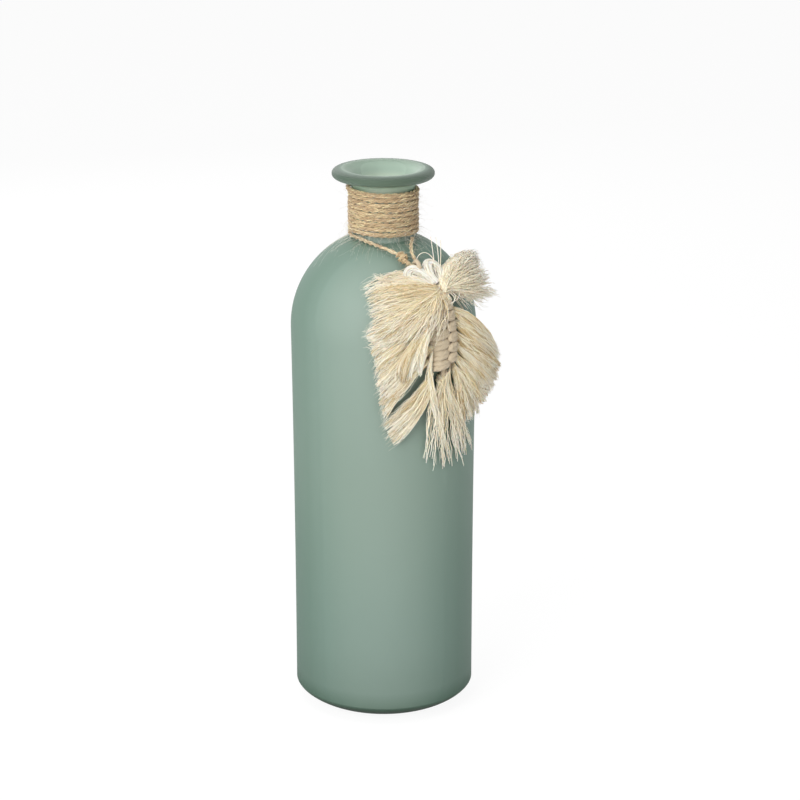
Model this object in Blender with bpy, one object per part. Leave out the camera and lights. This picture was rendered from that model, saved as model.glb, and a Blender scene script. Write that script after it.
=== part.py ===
"""Frosted glass bottle vase with a jute neck winding and a hanging macrame feather charm.

Metres, +Z up. The origin is the centre of the base, on the surface the vase stands on.
-Y is the front: the jute loop leaves the winding on both sides of it and the charm hangs
at the front right. Azimuths are in degrees from the front, positive to the right (+X).
"""

import math

import bmesh
import bpy
import numpy as np
from mathutils import Vector

MM = 0.001

# Bottle, outside
VASE_HEIGHT = 300 * MM
FOOT_RADIUS = 49.1 * MM
SHOULDER_RADIUS = 50.0 * MM
SHOULDER_RISE = 49.4 * MM
SHOULDER_EXPONENTS = (1.41, 0.95)
HEEL_WIDTH = 17.0 * MM
HEEL_HEIGHT = 9.6 * MM
HEEL_EXPONENT = 1.36
NECK_RADIUS = 16.3 * MM
NECK_LENGTH = 37.2 * MM
NECK_FOOT = VASE_HEIGHT - NECK_LENGTH
SHOULDER_START = NECK_FOOT - SHOULDER_RISE
NECK_FILLET = 1.5 * MM
LIP_COVE_WIDTH = 5.0 * MM
LIP_COVE_HEIGHT = 9.0 * MM
LIP_CENTRE_RADIUS = 22.1 * MM
LIP_HALF_WIDTH = 5.3 * MM
LIP_HALF_HEIGHT = 2.9 * MM
LIP_EXPONENT = 0.88

# Bottle, inside
WALL = 3.0 * MM
BASE_THICKNESS = 7.0 * MM
INNER_HEEL = 11.0 * MM
FUNNEL_DEPTH = 16.0 * MM
BOTTLE_SEGMENTS = 60

# Twine and the clearance that every pair of touching pieces keeps
GAP = 0.3 * MM
TWINE = 2.2 * MM
TURN_PITCH = 2.66 * MM
TURNS = 9.1
WINDING_BOTTOM = NECK_FOOT + 2.5 * MM
WINDING_END_AZIMUTH = -80.0
POINTS_PER_TURN = 24
KNOT_TWINE = 1.6 * MM
KNOT_TURNS = 2.0
KNOT_PITCH = 2.1 * MM
KNOT_SLACK = 0.1 * MM

# Hanging loop after it leaves the winding: azimuth, height over the neck's foot, and the
# distance of its centre from the glass
LOOP_ROUTE = (
    (-58, 1.9, 1.6),
    (-40, 1.5, 1.65),
    (-21, 0.8, 1.75),
    (-5, -0.1, 2.2),
    (7, -1.4, 3.0),
    (15.5, -3.2, 3.6),
    (20.2, -5.6, 4.1),
    (23.6, -7.6, 4.35),
    (27.5, -8.6, 4.4),
    (31.4, -7.6, 4.2),
    (34.8, -5.5, 3.6),
    (39, -3.0, 2.5),
    (46.5, -1.1, 1.9),
    (52.5, 0.3, 1.75),
)
LOOP_END_AZIMUTH = 57.0
KNOT_INDEX = 5
BIGHT_INDEX = 8

# Charm: spine of knotted rows
SPINE_AZIMUTH = 36.0
ROWS = 6
FIRST_ROW = NECK_FOOT - 30.4 * MM
ROW_PITCH = 5.9 * MM
CORD = 1.8 * MM
THROAT = 1.1 * MM
INTERLOCK_GAP = 0.45 * MM
CORE_CORD = 2.4 * MM
EYE_CORD = 2.2 * MM
EYE_SLACK = 0.4 * MM
SWING_AZIMUTH = 30.0

# Fringe: each row's tip reach along the glass, its drop below the row and its clearance
LEFT_TIPS = (
    (43.0, 14.4, 2.6),
    (41.0, 17.5, 2.6),
    (38.5, 20.6, 2.6),
    (36.0, 24.2, 2.6),
    (33.0, 28.3, 2.6),
    (30.0, 36.4, 2.4),
)
RIGHT_TIPS = (
    (32.0, 24.4, 12.0),
    (34.0, 27.0, 12.0),
    (34.5, 29.1, 11.0),
    (33.5, 30.7, 9.5),
    (30.0, 31.8, 8.0),
    (26.0, 33.4, 6.0),
)
LOCK_THICKNESS = 2.6 * MM
LEFT_LOCK_WIDTH = 4.9 * MM
RIGHT_LOCK_WIDTH = 3.4 * MM
LOCK_DROOP = 1.2

# Head: two bundles folded over the twine, bound and combed out
BINDING_AZIMUTH = 36.1
BINDING_HEIGHT = NECK_FOOT - 19.0 * MM
BINDING_THREAD = 0.8 * MM
BINDING_TURNS = 3
BINDING_PITCH = 1.25 * MM
BINDING_SLACK = 0.45 * MM
BUNDLE_RADIUS = 1.1 * MM
BUNDLE_SPACING = 2.6 * MM

# Tail: each combed tip's place across the glass and its drop below the tail's root
TAIL_TIPS = ((-10.4, 46.0), (-0.9, 47.0), (9.1, 49.0), (21.8, 50.0))
TAIL_ROOT = FIRST_ROW - ROWS * ROW_PITCH
TAIL_WIDTH = 4.0 * MM
TAIL_OVERLAP = 2.0 * MM
TAIL_CLEARANCE = 1.7 * MM

# Core cord: how far its straight runs reach past the binding, and where it first turns to it
CORE_RUN_ABOVE = 3.0 * MM
CORE_RUN_BELOW = 3.4 * MM
CORE_TURN = 5.6 * MM
CORE_TURN_AZIMUTH = 30.8
CORE_TURN_CLEARANCE = 3.2 * MM
CORE_RUN_AZIMUTH = 34.6
CORE_LEAD = 4.8 * MM

COLOURS = {
    "glass": (0.45, 0.56, 0.50, 1.0),
    "jute": (0.60, 0.43, 0.25, 1.0),
    "cotton": (0.82, 0.74, 0.56, 1.0),
    "knotted_cotton": (0.68, 0.60, 0.46, 1.0),
}


def quarter(start, end, steps):
    """Angles from start to end in degrees, as radians, both ends included."""
    return np.radians(np.linspace(start, end, steps + 1))


def shoulder_point(angle, wall=0.0):
    """Radius and height on the shoulder's curve, 0 at its start and 90 degrees at the neck."""
    power_r, power_z = SHOULDER_EXPONENTS
    neck = NECK_RADIUS - wall
    radius = neck + (SHOULDER_RADIUS - wall - neck) * max(math.cos(angle), 0.0) ** power_r
    return radius, SHOULDER_START + (SHOULDER_RISE - wall) * math.sin(angle) ** power_z


def body_point(share, wall=0.0):
    """Radius and height on the nearly straight side, from the heel at 0 to the shoulder at 1."""
    radius = FOOT_RADIUS + (SHOULDER_RADIUS - FOOT_RADIUS) * share**3 - wall
    return radius, HEEL_HEIGHT + share * (SHOULDER_START - HEEL_HEIGHT)


def fillet_start_angle():
    """The shoulder's angle where its radius is a fillet wider than the neck."""
    share = NECK_FILLET / (SHOULDER_RADIUS - NECK_RADIUS)
    return math.acos(share ** (1 / SHOULDER_EXPONENTS[0]))


def outer_outline(fineness=1):
    """Radius and height up the outside, from the base's edge to the bottom of the lip's bead."""
    points = []
    for angle in quarter(0, 90, 5 * fineness):
        radius = FOOT_RADIUS - HEEL_WIDTH * (1 - math.sin(angle) ** HEEL_EXPONENT)
        points.append((radius, HEEL_HEIGHT * (1 - max(math.cos(angle), 0.0) ** HEEL_EXPONENT)))
    points += [body_point(share) for share in np.linspace(0, 1, 4 * fineness + 1)[1:]]
    shoulder_end = fillet_start_angle()
    steps = 10 * fineness
    points += [shoulder_point(shoulder_end * step / steps) for step in range(1, steps + 1)]
    edge_radius, edge_height = points[-1]
    for angle in quarter(0, 90, 3 * fineness)[1:]:
        radius = edge_radius - NECK_FILLET * math.sin(angle)
        points.append((radius, edge_height + NECK_FILLET * (1 - math.cos(angle))))
    cove_start = VASE_HEIGHT - 2 * LIP_HALF_HEIGHT - LIP_COVE_HEIGHT + 0.3 * MM
    for angle in quarter(0, 84, 4 * fineness):
        radius = NECK_RADIUS + LIP_COVE_WIDTH * (1 - math.cos(angle))
        points.append((radius, cove_start + LIP_COVE_HEIGHT * math.sin(angle)))
    return points


def bead_outline():
    """The lip's rounded bead, from its underside round its edge to its top."""
    points = []
    for angle in quarter(-84, 84, 9):
        side = math.cos(angle) ** LIP_EXPONENT
        rise = math.copysign(abs(math.sin(angle)) ** LIP_EXPONENT, angle)
        height = VASE_HEIGHT - LIP_HALF_HEIGHT + LIP_HALF_HEIGHT * rise
        points.append((LIP_CENTRE_RADIUS + LIP_HALF_WIDTH * side, height))
    return points


def inner_outline():
    """Radius and height down the inside, from the lip's top to the middle of the inner base."""
    bore = NECK_RADIUS - WALL
    points = []
    for angle in quarter(90, 0, 6):
        radius = bore + (LIP_CENTRE_RADIUS - bore) * (1 - math.cos(angle))
        points.append((radius, VASE_HEIGHT - FUNNEL_DEPTH * (1 - math.sin(angle))))
    points += [shoulder_point(angle, WALL) for angle in quarter(90, 0, 7)]
    points.append(body_point(0.5, WALL))
    heel_radius = FOOT_RADIUS - WALL
    for angle in quarter(0, 90, 4):
        radius = heel_radius - INNER_HEEL * (1 - math.cos(angle))
        points.append((radius, BASE_THICKNESS + INNER_HEEL * (1 - math.sin(angle))))
    points.append((0.0, BASE_THICKNESS))
    return points


FINE_OUTLINE = np.array(outer_outline(fineness=8))
GLASS_HEIGHTS = np.arange(FINE_OUTLINE[0, 1], FINE_OUTLINE[-1, 1], 0.05 * MM)
GLASS_RADII = np.interp(GLASS_HEIGHTS, FINE_OUTLINE[:, 1], FINE_OUTLINE[:, 0])


def clear_radius(height, clearance):
    """The radius at which a ball of this clearance, at this height, just touches the glass."""
    away = np.abs(GLASS_HEIGHTS - height)
    near = away < clearance
    reach = np.sqrt(clearance**2 - away[near] ** 2)
    return float((GLASS_RADII[near] + reach).max())


def beside_glass(azimuth, height, clearance):
    """The point beside the glass at an azimuth in degrees, a height and a clearance."""
    radius = clear_radius(height, clearance)
    turn = math.radians(azimuth)
    return Vector((radius * math.sin(turn), -radius * math.cos(turn), height))


def smooth_path(points, steps, closed=False):
    """Points along a centripetal-like spline through the given ones, with even steps between."""
    count = len(points)
    spans = count if closed else count - 1
    path = []
    for span in range(spans):
        if closed:
            before, start, end, after = (points[(span + k - 1) % count] for k in range(4))
        else:
            before = points[max(span - 1, 0)]
            start, end = points[span], points[span + 1]
            after = points[min(span + 2, count - 1)]
        for step in range(steps):
            t = step / steps
            path.append(
                0.5
                * (
                    2 * start
                    + (end - before) * t
                    + (2 * before - 5 * start + 4 * end - after) * t**2
                    + (3 * start - before - 3 * end + after) * t**3
                )
            )
    if not closed:
        path.append(points[-1].copy())
    return path


def least_gap(name, points, diameter, turn_points):
    """Prints the least distance from a wound tube's side to its own next turns."""
    path = np.array([tuple(point) for point in points])
    least = math.inf
    for index in range(len(path) - turn_points // 2):
        rest = path[index + turn_points // 2 :]
        least = min(least, np.linalg.norm(rest - path[index], axis=1).min())
    print(f"{name}: least gap to itself {(least - diameter) / MM:.2f} mm")


def material(name):
    made = bpy.data.materials.new(name)
    made.use_nodes = True
    shader = made.node_tree.nodes["Principled BSDF"]
    shader.inputs["Base Color"].default_value = COLOURS[name]
    shader.inputs["Roughness"].default_value = 0.4 if name == "glass" else 0.9
    made.diffuse_color = COLOURS[name]
    return made


def add_object(name, data, slot, parent=None):
    obj = bpy.data.objects.new(name, data)
    own = material(slot)
    own.name = name
    data.materials.append(own)
    bpy.context.scene.collection.objects.link(obj)
    obj.parent = parent
    return obj


def mesh_from(name, bm, origin):
    """A smooth-shaded mesh from a bmesh, with its faces out and its points seen from origin."""
    bmesh.ops.recalc_face_normals(bm, faces=bm.faces)
    bmesh.ops.translate(bm, verts=bm.verts, vec=-origin)
    mesh = bpy.data.meshes.new(name)
    bm.to_mesh(mesh)
    bm.free()
    mesh.shade_smooth()
    return mesh


def skin_rings(bm, rings, closed=False):
    """Joins rings of points into a tube, with a face on each end unless it closes on itself."""
    loops = [[bm.verts.new(point) for point in ring] for ring in rings]
    pairs = list(zip(loops, loops[1:]))
    if closed:
        pairs.append((loops[-1], loops[0]))
    else:
        bm.faces.new(loops[0])
        bm.faces.new(loops[-1])
    for first, second in pairs:
        count = len(first)
        for index in range(count):
            after = (index + 1) % count
            bm.faces.new((first[index], first[after], second[after], second[index]))


def tube_rings(path, radii, sides, closed=False):
    """Round rings along a path, each turned on from the last one without twist."""
    count = len(path)
    rings = []
    across = None
    for index, centre in enumerate(path):
        if closed:
            along = (path[(index + 1) % count] - path[index - 1]).normalized()
        else:
            along = (path[min(index + 1, count - 1)] - path[max(index - 1, 0)]).normalized()
        across = along.orthogonal() if across is None else across - along * across.dot(along)
        across.normalize()
        other = along.cross(across)
        radius = radii[index] if isinstance(radii, list) else radii
        rings.append(
            [
                centre + (across * math.cos(turn) + other * math.sin(turn)) * radius
                for turn in np.linspace(0, 2 * math.pi, sides, endpoint=False)
            ]
        )
    return rings


def closed_tube_mesh(name, path, diameter, sides, origin):
    """A ring-shaped tube. Its frame is carried round, then eased back so that its ends meet."""
    bm = bmesh.new()
    rings = tube_rings(path + [path[0], path[1]], diameter / 2, sides, closed=False)
    first, last = rings[0], rings[-2]
    shift = min(range(sides), key=lambda k: (last[k] - first[0]).length)
    rings = rings[:-2]
    loops = [[bm.verts.new(point) for point in ring] for ring in rings]
    for index, ring in enumerate(loops):
        closing = index == len(loops) - 1
        following = loops[(index + 1) % len(loops)]
        step = shift if closing else 0
        for k in range(sides):
            after = (k + 1) % sides
            bm.faces.new(
                (
                    ring[(k + step) % sides],
                    ring[(after + step) % sides],
                    following[after],
                    following[k],
                )
            )
    return mesh_from(name, bm, origin)


def blade_mesh(name, stations, sides, origin):
    """A lock of combed cotton that bends with the glass.

    Each station is azimuth, height, clearance of its middle, half width and half thickness.
    The width lies along the glass, square to the lock's run.
    """
    bm = bmesh.new()
    rings = []
    last = len(stations) - 1
    for index, (azimuth, height, clearance, half_width, half_thickness) in enumerate(stations):
        before, after = stations[max(index - 1, 0)], stations[min(index + 1, last)]
        radius = clear_radius(height, clearance)
        run = Vector((math.radians(after[0] - before[0]) * radius, after[1] - before[1]))
        side = Vector((-run.y, run.x)).normalized()
        ring = []
        for turn in np.linspace(0, 2 * math.pi, sides, endpoint=False):
            offset = side * half_width * math.cos(turn)
            at_azimuth = azimuth + math.degrees(offset.x / radius)
            at_clearance = clearance + half_thickness * math.sin(turn)
            ring.append(beside_glass(at_azimuth, height + offset.y, at_clearance))
        rings.append(ring)
    skin_rings(bm, rings)
    return mesh_from(name, bm, origin)


def union(obj, parts):
    """Joins hidden helper pieces to an object, which stays one closed body."""
    for part in parts:
        part.hide_render = True
        part.display_type = "WIRE"
        joined = obj.modifiers.new(f"join {part.name}", "BOOLEAN")
        joined.operation = "UNION"
        joined.solver = "EXACT"
        joined.object = part


def add_helper(name, mesh, parent):
    helper = bpy.data.objects.new(name, mesh)
    bpy.context.scene.collection.objects.link(helper)
    helper.parent = parent
    return helper


def add_cord(name, points, diameter, slot, parent=None, bevel_resolution=2, origin=None):
    """A cord as a curve with a round bevel and capped ends."""
    curve = bpy.data.curves.new(name, "CURVE")
    curve.dimensions = "3D"
    curve.bevel_depth = diameter / 2
    curve.bevel_resolution = bevel_resolution
    curve.use_fill_caps = True
    spline = curve.splines.new("POLY")
    spline.points.add(len(points) - 1)
    seen_from = origin or Vector((0, 0, 0))
    for place, point in zip(spline.points, points):
        place.co = (*(point - seen_from), 1.0)
    spline.use_smooth = True
    return add_object(name, curve, slot, parent)


def build_bottle():
    """One blown and pressed glass body: the outline is turned round the axis by a Screw."""
    outline = inner_outline()[::-1] + bead_outline()[::-1] + outer_outline()[::-1]
    outline.append((0.0, 0.0))
    mesh = bpy.data.meshes.new("glass_bottle")
    places = [(radius, 0.0, height) for radius, height in outline]
    edges = [(index, index + 1) for index in range(len(places) - 1)]
    mesh.from_pydata(places, edges, [])
    bottle = add_object("glass_bottle", mesh, "glass")
    turned = bottle.modifiers.new("turn", "SCREW")
    turned.axis = "Z"
    turned.steps = BOTTLE_SEGMENTS
    turned.render_steps = BOTTLE_SEGMENTS
    turned.use_merge_vertices = True
    turned.merge_threshold = 0.00001
    turned.use_smooth_shade = True
    return bottle


def winding_points():
    """The twine's centre from the top of the winding down to its lower end."""
    chord_sag = NECK_RADIUS * (1 - math.cos(math.pi / POINTS_PER_TURN))
    clearance = TWINE / 2 + GAP + chord_sag
    steps = round(TURNS * POINTS_PER_TURN)
    points = []
    for step in range(steps + 1):
        turns_left = (steps - step) / POINTS_PER_TURN
        azimuth = WINDING_END_AZIMUTH - 360.0 * turns_left
        points.append(beside_glass(azimuth, WINDING_BOTTOM + TURN_PITCH * turns_left, clearance))
    for end, next_to_end in ((0, 1), (-1, -2)):
        along = points[end] - points[next_to_end]
        along.z = 0.0
        straight = points[end] + along.normalized() * TWINE
        if end == 0:
            points.insert(0, straight)
        else:
            points.append(straight)
    return points


def loop_points(winding):
    """The hanging loop's hand-chosen points, from the winding's lower end back up under it."""
    along = (winding[-1] - winding[-2]).normalized()
    start = winding[-1] + along * 2 * GAP
    points = [start, start + along * TWINE]
    points += [
        beside_glass(azimuth, NECK_FOOT + height * MM, away * MM)
        for azimuth, height, away in LOOP_ROUTE
    ]
    turns_up = 1 - (LOOP_END_AZIMUTH - WINDING_END_AZIMUTH) / 360.0
    turn_height = WINDING_BOTTOM + TURN_PITCH * turns_up
    end_height = turn_height - TWINE - 2 * GAP
    points.append(beside_glass(LOOP_END_AZIMUTH, end_height, TWINE / 2 + 2 * GAP))
    return points


def coil_round(path, radius, turns, pitch, points_per_turn):
    """A coil round a straight axis through the middle of a short path."""
    middle = path[len(path) // 2]
    along = (path[-1] - path[0]).normalized()
    across = along.orthogonal().normalized()
    other = along.cross(across)
    points = []
    steps = round(turns * points_per_turn)
    for step in range(steps + 1):
        turn = 2 * math.pi * step / points_per_turn
        rise = pitch * (step / points_per_turn - turns / 2)
        points.append(
            middle + along * rise + (across * math.cos(turn) + other * math.sin(turn)) * radius
        )
    return points


def spine_point(row, side, along, up, clearance):
    """A point of a row's knot: side is -1 or 1, along runs out from the spine's middle."""
    height = row_height(row) + up
    radius = SHOULDER_RADIUS + clearance
    azimuth = SPINE_AZIMUTH + side * math.degrees(along / radius)
    return beside_glass(azimuth, height, clearance)


def row_height(row):
    return FIRST_ROW - row * ROW_PITCH


def knot_levels():
    """Clearances of the back strand, the core and the front strand, each a gap apart."""
    back = GAP + CORD / 2
    core = back + CORD / 2 + GAP + CORE_CORD / 2
    front = core + CORE_CORD / 2 + GAP + CORD / 2
    return back, core, front


def tie_cord_loop(row, side):
    """The closed bight of a tie cord, round the core and round the throat of its partner.

    It runs from its own throat on one side of the core to its bight on the other. The cord
    that leaves to the left passes behind the core, and the one that leaves to the right
    passes in front of it.
    """
    back, _, front = knot_levels()
    spread = THROAT / 2 + INTERLOCK_GAP + CORD / 2
    crossing = front - spread

    def level(value):
        return value if side < 0 else back + front - value

    half = (
        (3.0 * MM, 0.0, back),
        (2.3 * MM, 0.62 * spread, back),
        (1.1 * MM, 0.97 * spread, back),
        (-0.6 * MM, spread, back),
        (-2.4 * MM, spread, back + 0.15 * MM),
        (-4.1 * MM, spread, back + 1.4 * MM),
        (-5.1 * MM, spread, crossing),
        (-5.2 * MM, 0.87 * spread, crossing + 0.5 * spread),
        (-5.3 * MM, 0.5 * spread, crossing + 0.87 * spread),
        (-5.35 * MM, 0.0, front),
    )
    upper = [spine_point(row, side, along, up, level(away)) for along, up, away in half]
    lower = [spine_point(row, side, along, -up, level(away)) for along, up, away in half[1:-1]]
    return upper + lower[::-1]


def tie_cord_stations(row, side, tip, lock_width):
    """The cord's throat and its combed lock, out to the tip."""
    back, _, front = knot_levels()
    spread = THROAT / 2 + INTERLOCK_GAP + CORD / 2
    reach, drop, tip_clearance = (value * MM for value in tip)

    def level(value):
        return back + front - value if side < 0 else value

    throat = ((2.7, 0.0), (3.3, 0.17), (3.9, 0.69), (4.6, 0.97), (5.2, 1.06), (6.6, 1.15))
    stations = []
    for along, rise in throat:
        away = level(front - rise * spread)
        azimuth = SPINE_AZIMUTH + side * math.degrees(along * MM / (SHOULDER_RADIUS + away))
        stations.append((azimuth, row_height(row), away, THROAT / 2, THROAT / 2))
    root = throat[-1][0] * MM
    root_clearance = stations[-1][2]
    widths = ((0.10, 0.62, 0.75), (0.25, 0.92, 1.0), (0.5, 1.0, 1.0), (0.78, 1.05, 0.85))
    for share, wide, thick in (*widths, (0.95, 1.0, 0.6), (1.0, 0.7, 0.3)):
        along = root + (reach - root) * share
        height = row_height(row) - drop * share**LOCK_DROOP
        away = root_clearance + (tip_clearance - root_clearance) * share
        azimuth = SPINE_AZIMUTH + side * math.degrees(along / (SHOULDER_RADIUS + away))
        half_width, half_thickness = wide * lock_width / 2, thick * LOCK_THICKNESS / 2
        away = max(away, half_thickness + GAP)
        stations.append((azimuth, height, away, half_width, half_thickness))
    return stations


def build_tie_cords(pivot):
    """A row is two cords: each holds the other's throat in its bight, with the core between."""
    sides = ((-1, "left", LEFT_TIPS, LEFT_LOCK_WIDTH), (1, "right", RIGHT_TIPS, RIGHT_LOCK_WIDTH))
    for row in range(ROWS):
        for side, word, tips, width in sides:
            name = f"{word}_tie_cord_{row + 1}"
            path = smooth_path(tie_cord_loop(row, side), 1, closed=True)
            loop = closed_tube_mesh(name, path, CORD, 6, pivot.location)
            cord = add_object(name, loop, "knotted_cotton", pivot)
            stations = tie_cord_stations(row, side, tips[row], width)
            lock = blade_mesh(f"{name}_lock", stations, 8, pivot.location)
            union(cord, [add_helper(f"{name}_lock", lock, pivot)])


def build_core_cord(pivot):
    """The charm's core: an eye round the twine's bight, the spine's core and the combed tail."""
    _, core_level, _ = knot_levels()
    waist_level = GAP + BINDING_THREAD + GAP + BINDING_SLACK + CORE_CORD / 2
    eye_radius = TWINE / 2 + GAP + EYE_SLACK + EYE_CORD / 2
    turn = math.radians(SWING_AZIMUTH)
    outward = Vector((math.sin(turn), -math.cos(turn), 0.0))
    upward = Vector((0.0, 0.0, 1.0))
    circle = np.linspace(0, 2 * math.pi, 14, endpoint=False)
    eye = [
        pivot.location + (outward * math.cos(t) + upward * math.sin(t)) * eye_radius
        for t in circle
    ]
    core = add_object(
        "core_cord",
        closed_tube_mesh("core_cord", eye, EYE_CORD, 8, pivot.location),
        "cotton",
        pivot,
    )
    route = [
        pivot.location - upward * eye_radius,
        beside_glass(CORE_TURN_AZIMUTH, BINDING_HEIGHT + CORE_TURN, CORE_TURN_CLEARANCE),
        beside_glass(CORE_RUN_AZIMUTH, BINDING_HEIGHT + CORE_RUN_ABOVE, waist_level),
        beside_glass(BINDING_AZIMUTH, BINDING_HEIGHT, waist_level),
        beside_glass(SPINE_AZIMUTH, BINDING_HEIGHT - CORE_RUN_BELOW, (waist_level + core_level) / 2),
        beside_glass(SPINE_AZIMUTH, FIRST_ROW + CORE_LEAD, core_level),
    ]
    route += [beside_glass(SPINE_AZIMUTH, row_height(row), core_level) for row in range(ROWS)]
    route.append(beside_glass(SPINE_AZIMUTH, TAIL_ROOT, core_level))
    bm = bmesh.new()
    skin_rings(bm, tube_rings(smooth_path(route, 2), CORE_CORD / 2, 8))
    stem = add_helper("core_cord_stem", mesh_from("core_cord_stem", bm, pivot.location), pivot)
    helpers = [stem]
    root = TAIL_ROOT + TAIL_OVERLAP
    for index, (across, drop) in enumerate(TAIL_TIPS):
        spread = math.degrees(across * MM / SHOULDER_RADIUS)
        fall = drop * MM + TAIL_OVERLAP
        stations = []
        for share, wide, thick in (
            (0.0, 0.28, 0.28),
            (0.12, 0.45, 0.36),
            (0.35, 0.8, 0.45),
            (0.7, 1.0, 0.4),
            (0.94, 0.9, 0.3),
            (1.0, 0.5, 0.2),
        ):
            azimuth = SPINE_AZIMUTH + spread * share**1.2
            away = core_level + (TAIL_CLEARANCE - core_level) * share
            half_width, half_thickness = wide * TAIL_WIDTH / 2, thick * TAIL_WIDTH / 2
            stations.append((azimuth, root - fall * share, away, half_width, half_thickness))
        name = f"core_cord_tail_{index + 1}"
        helpers.append(add_helper(name, blade_mesh(name, stations, 8, pivot.location), pivot))
    union(core, helpers)


def build_head_bundles(pivot):
    """Two bundles of cut cotton: a soft fold at the top, a bound waist and a combed tuft."""
    waist_level = 3 * GAP + BINDING_THREAD + BINDING_SLACK + CORE_CORD + BUNDLE_RADIUS
    waist_radius = clear_radius(BINDING_HEIGHT, waist_level)
    spread = math.degrees(BUNDLE_SPACING / 2 / waist_radius)
    waist = waist_level / MM
    thin = BUNDLE_RADIUS / MM
    binding = BINDING_HEIGHT / MM
    left, right = BINDING_AZIMUTH - spread, BINDING_AZIMUTH + spread
    shapes = {
        "head_bundle_left": (
            (16.5, binding + 7.8, 3.3, 0.8, 0.8),
            (18.0, binding + 7.4, 3.5, 1.9, 1.7),
            (22.0, binding + 5.5, 3.9, 2.1, 1.9),
            (27.0, binding + 3.6, 4.7, 1.6, 1.5),
            (left - 3.0, binding + 3.0, waist + 0.3, 1.2, 1.2),
            (left, binding + 2.5, waist, thin, thin),
            (left, binding - 2.7, waist, thin, thin),
            (left - 2.6, binding - 4.3, waist + 0.2, 1.4, 1.4),
            (left - 8.0, binding - 4.4, waist, 2.8, 2.0),
            (left - 19.0, binding - 4.6, 4.6, 5.6, 2.4),
            (left - 33.0, binding - 6.2, 3.8, 8.6, 2.2),
            (left - 45.0, binding - 7.4, 2.8, 10.4, 1.7),
            (left - 47.5, binding - 7.7, 2.4, 9.4, 0.8),
        ),
        "head_bundle_right": (
            (45.5, binding + 8.8, 3.6, 1.0, 0.9),
            (44.8, binding + 7.6, 3.7, 2.1, 1.9),
            (43.0, binding + 5.4, 4.1, 2.3, 2.1),
            (right + 2.0, binding + 4.0, waist + 0.2, 1.4, 1.4),
            (right, binding + 2.7, waist, thin, thin),
            (right, binding - 2.7, waist, thin, thin),
            (right + 2.8, binding - 4.4, waist + 0.5, 1.4, 1.5),
            (right + 8.5, binding - 3.2, waist + 1.6, 2.8, 2.1),
            (right + 16.0, binding - 0.6, 8.4, 7.0, 2.5),
            (right + 24.0, binding + 0.2, 10.6, 11.0, 2.3),
            (right + 28.5, binding + 0.2, 12.0, 12.6, 1.6),
            (right + 29.6, binding + 0.2, 12.4, 11.8, 0.8),
        ),
    }
    for name, shape in shapes.items():
        stations = [(azimuth, *(value * MM for value in rest)) for azimuth, *rest in shape]
        add_object(name, blade_mesh(name, stations, 12, pivot.location), "cotton", pivot)


def build_binding_thread(pivot):
    """The thread that binds the two bundles and the core, as one unbroken oval coil."""
    waist_back = GAP + BINDING_THREAD / 2
    waist_front = 2 * GAP + BINDING_THREAD + CORE_CORD + 2 * GAP + 2 * BUNDLE_RADIUS
    waist_front += BINDING_THREAD / 2
    half_depth = (waist_front - waist_back) / 2 + BINDING_SLACK
    half_width = BUNDLE_SPACING / 2 + BUNDLE_RADIUS + GAP + BINDING_THREAD / 2 + 2 * BINDING_SLACK
    middle = waist_back + half_depth
    radius = clear_radius(BINDING_HEIGHT, middle)
    points_per_turn = 20
    points = []
    for step in range(BINDING_TURNS * points_per_turn + 1):
        turn = 2 * math.pi * step / points_per_turn
        rise = BINDING_PITCH * (step / points_per_turn - BINDING_TURNS / 2)
        azimuth = BINDING_AZIMUTH + math.degrees(half_width * math.cos(turn) / radius)
        away = middle + half_depth * math.sin(turn)
        points.append(beside_glass(azimuth, BINDING_HEIGHT + rise, away))
    least_gap("binding_thread", points, BINDING_THREAD, points_per_turn)
    add_cord(
        "binding_thread",
        points,
        BINDING_THREAD,
        "cotton",
        pivot,
        bevel_resolution=1,
        origin=pivot.location,
    )


def main():
    for obj in list(bpy.data.objects):
        bpy.data.objects.remove(obj, do_unlink=True)

    build_bottle()

    winding = winding_points()
    least_gap("neck_winding", winding, TWINE, POINTS_PER_TURN)
    add_cord("neck_winding", winding, TWINE, "jute", bevel_resolution=1)

    route = loop_points(winding)
    add_cord("hanging_loop", smooth_path(route, 2), TWINE, "jute")

    knot_centre = KNOT_INDEX + 2
    knot_radius = TWINE / 2 + GAP + KNOT_SLACK + KNOT_TWINE / 2
    knot = coil_round(
        route[knot_centre - 1 : knot_centre + 2], knot_radius, KNOT_TURNS, KNOT_PITCH, 16
    )
    least_gap("loop_knot", knot, KNOT_TWINE, 16)
    add_cord("loop_knot", knot, KNOT_TWINE, "jute", bevel_resolution=1)

    pivot = bpy.data.objects.new("charm_swing_axis", None)
    pivot.location = route[BIGHT_INDEX + 2]
    bpy.context.scene.collection.objects.link(pivot)
    bpy.context.view_layer.update()

    build_core_cord(pivot)
    build_head_bundles(pivot)
    build_binding_thread(pivot)
    build_tie_cords(pivot)


main()
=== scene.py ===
"""Frosted glass bottle vase with a jute winding and a macrame feather charm: the visual model.

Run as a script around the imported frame. Metres, +Z up, -Y is the front. Places near the glass
are azimuth in degrees from the front, height in mm and distance from the glass in mm.
"""

import math

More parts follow.
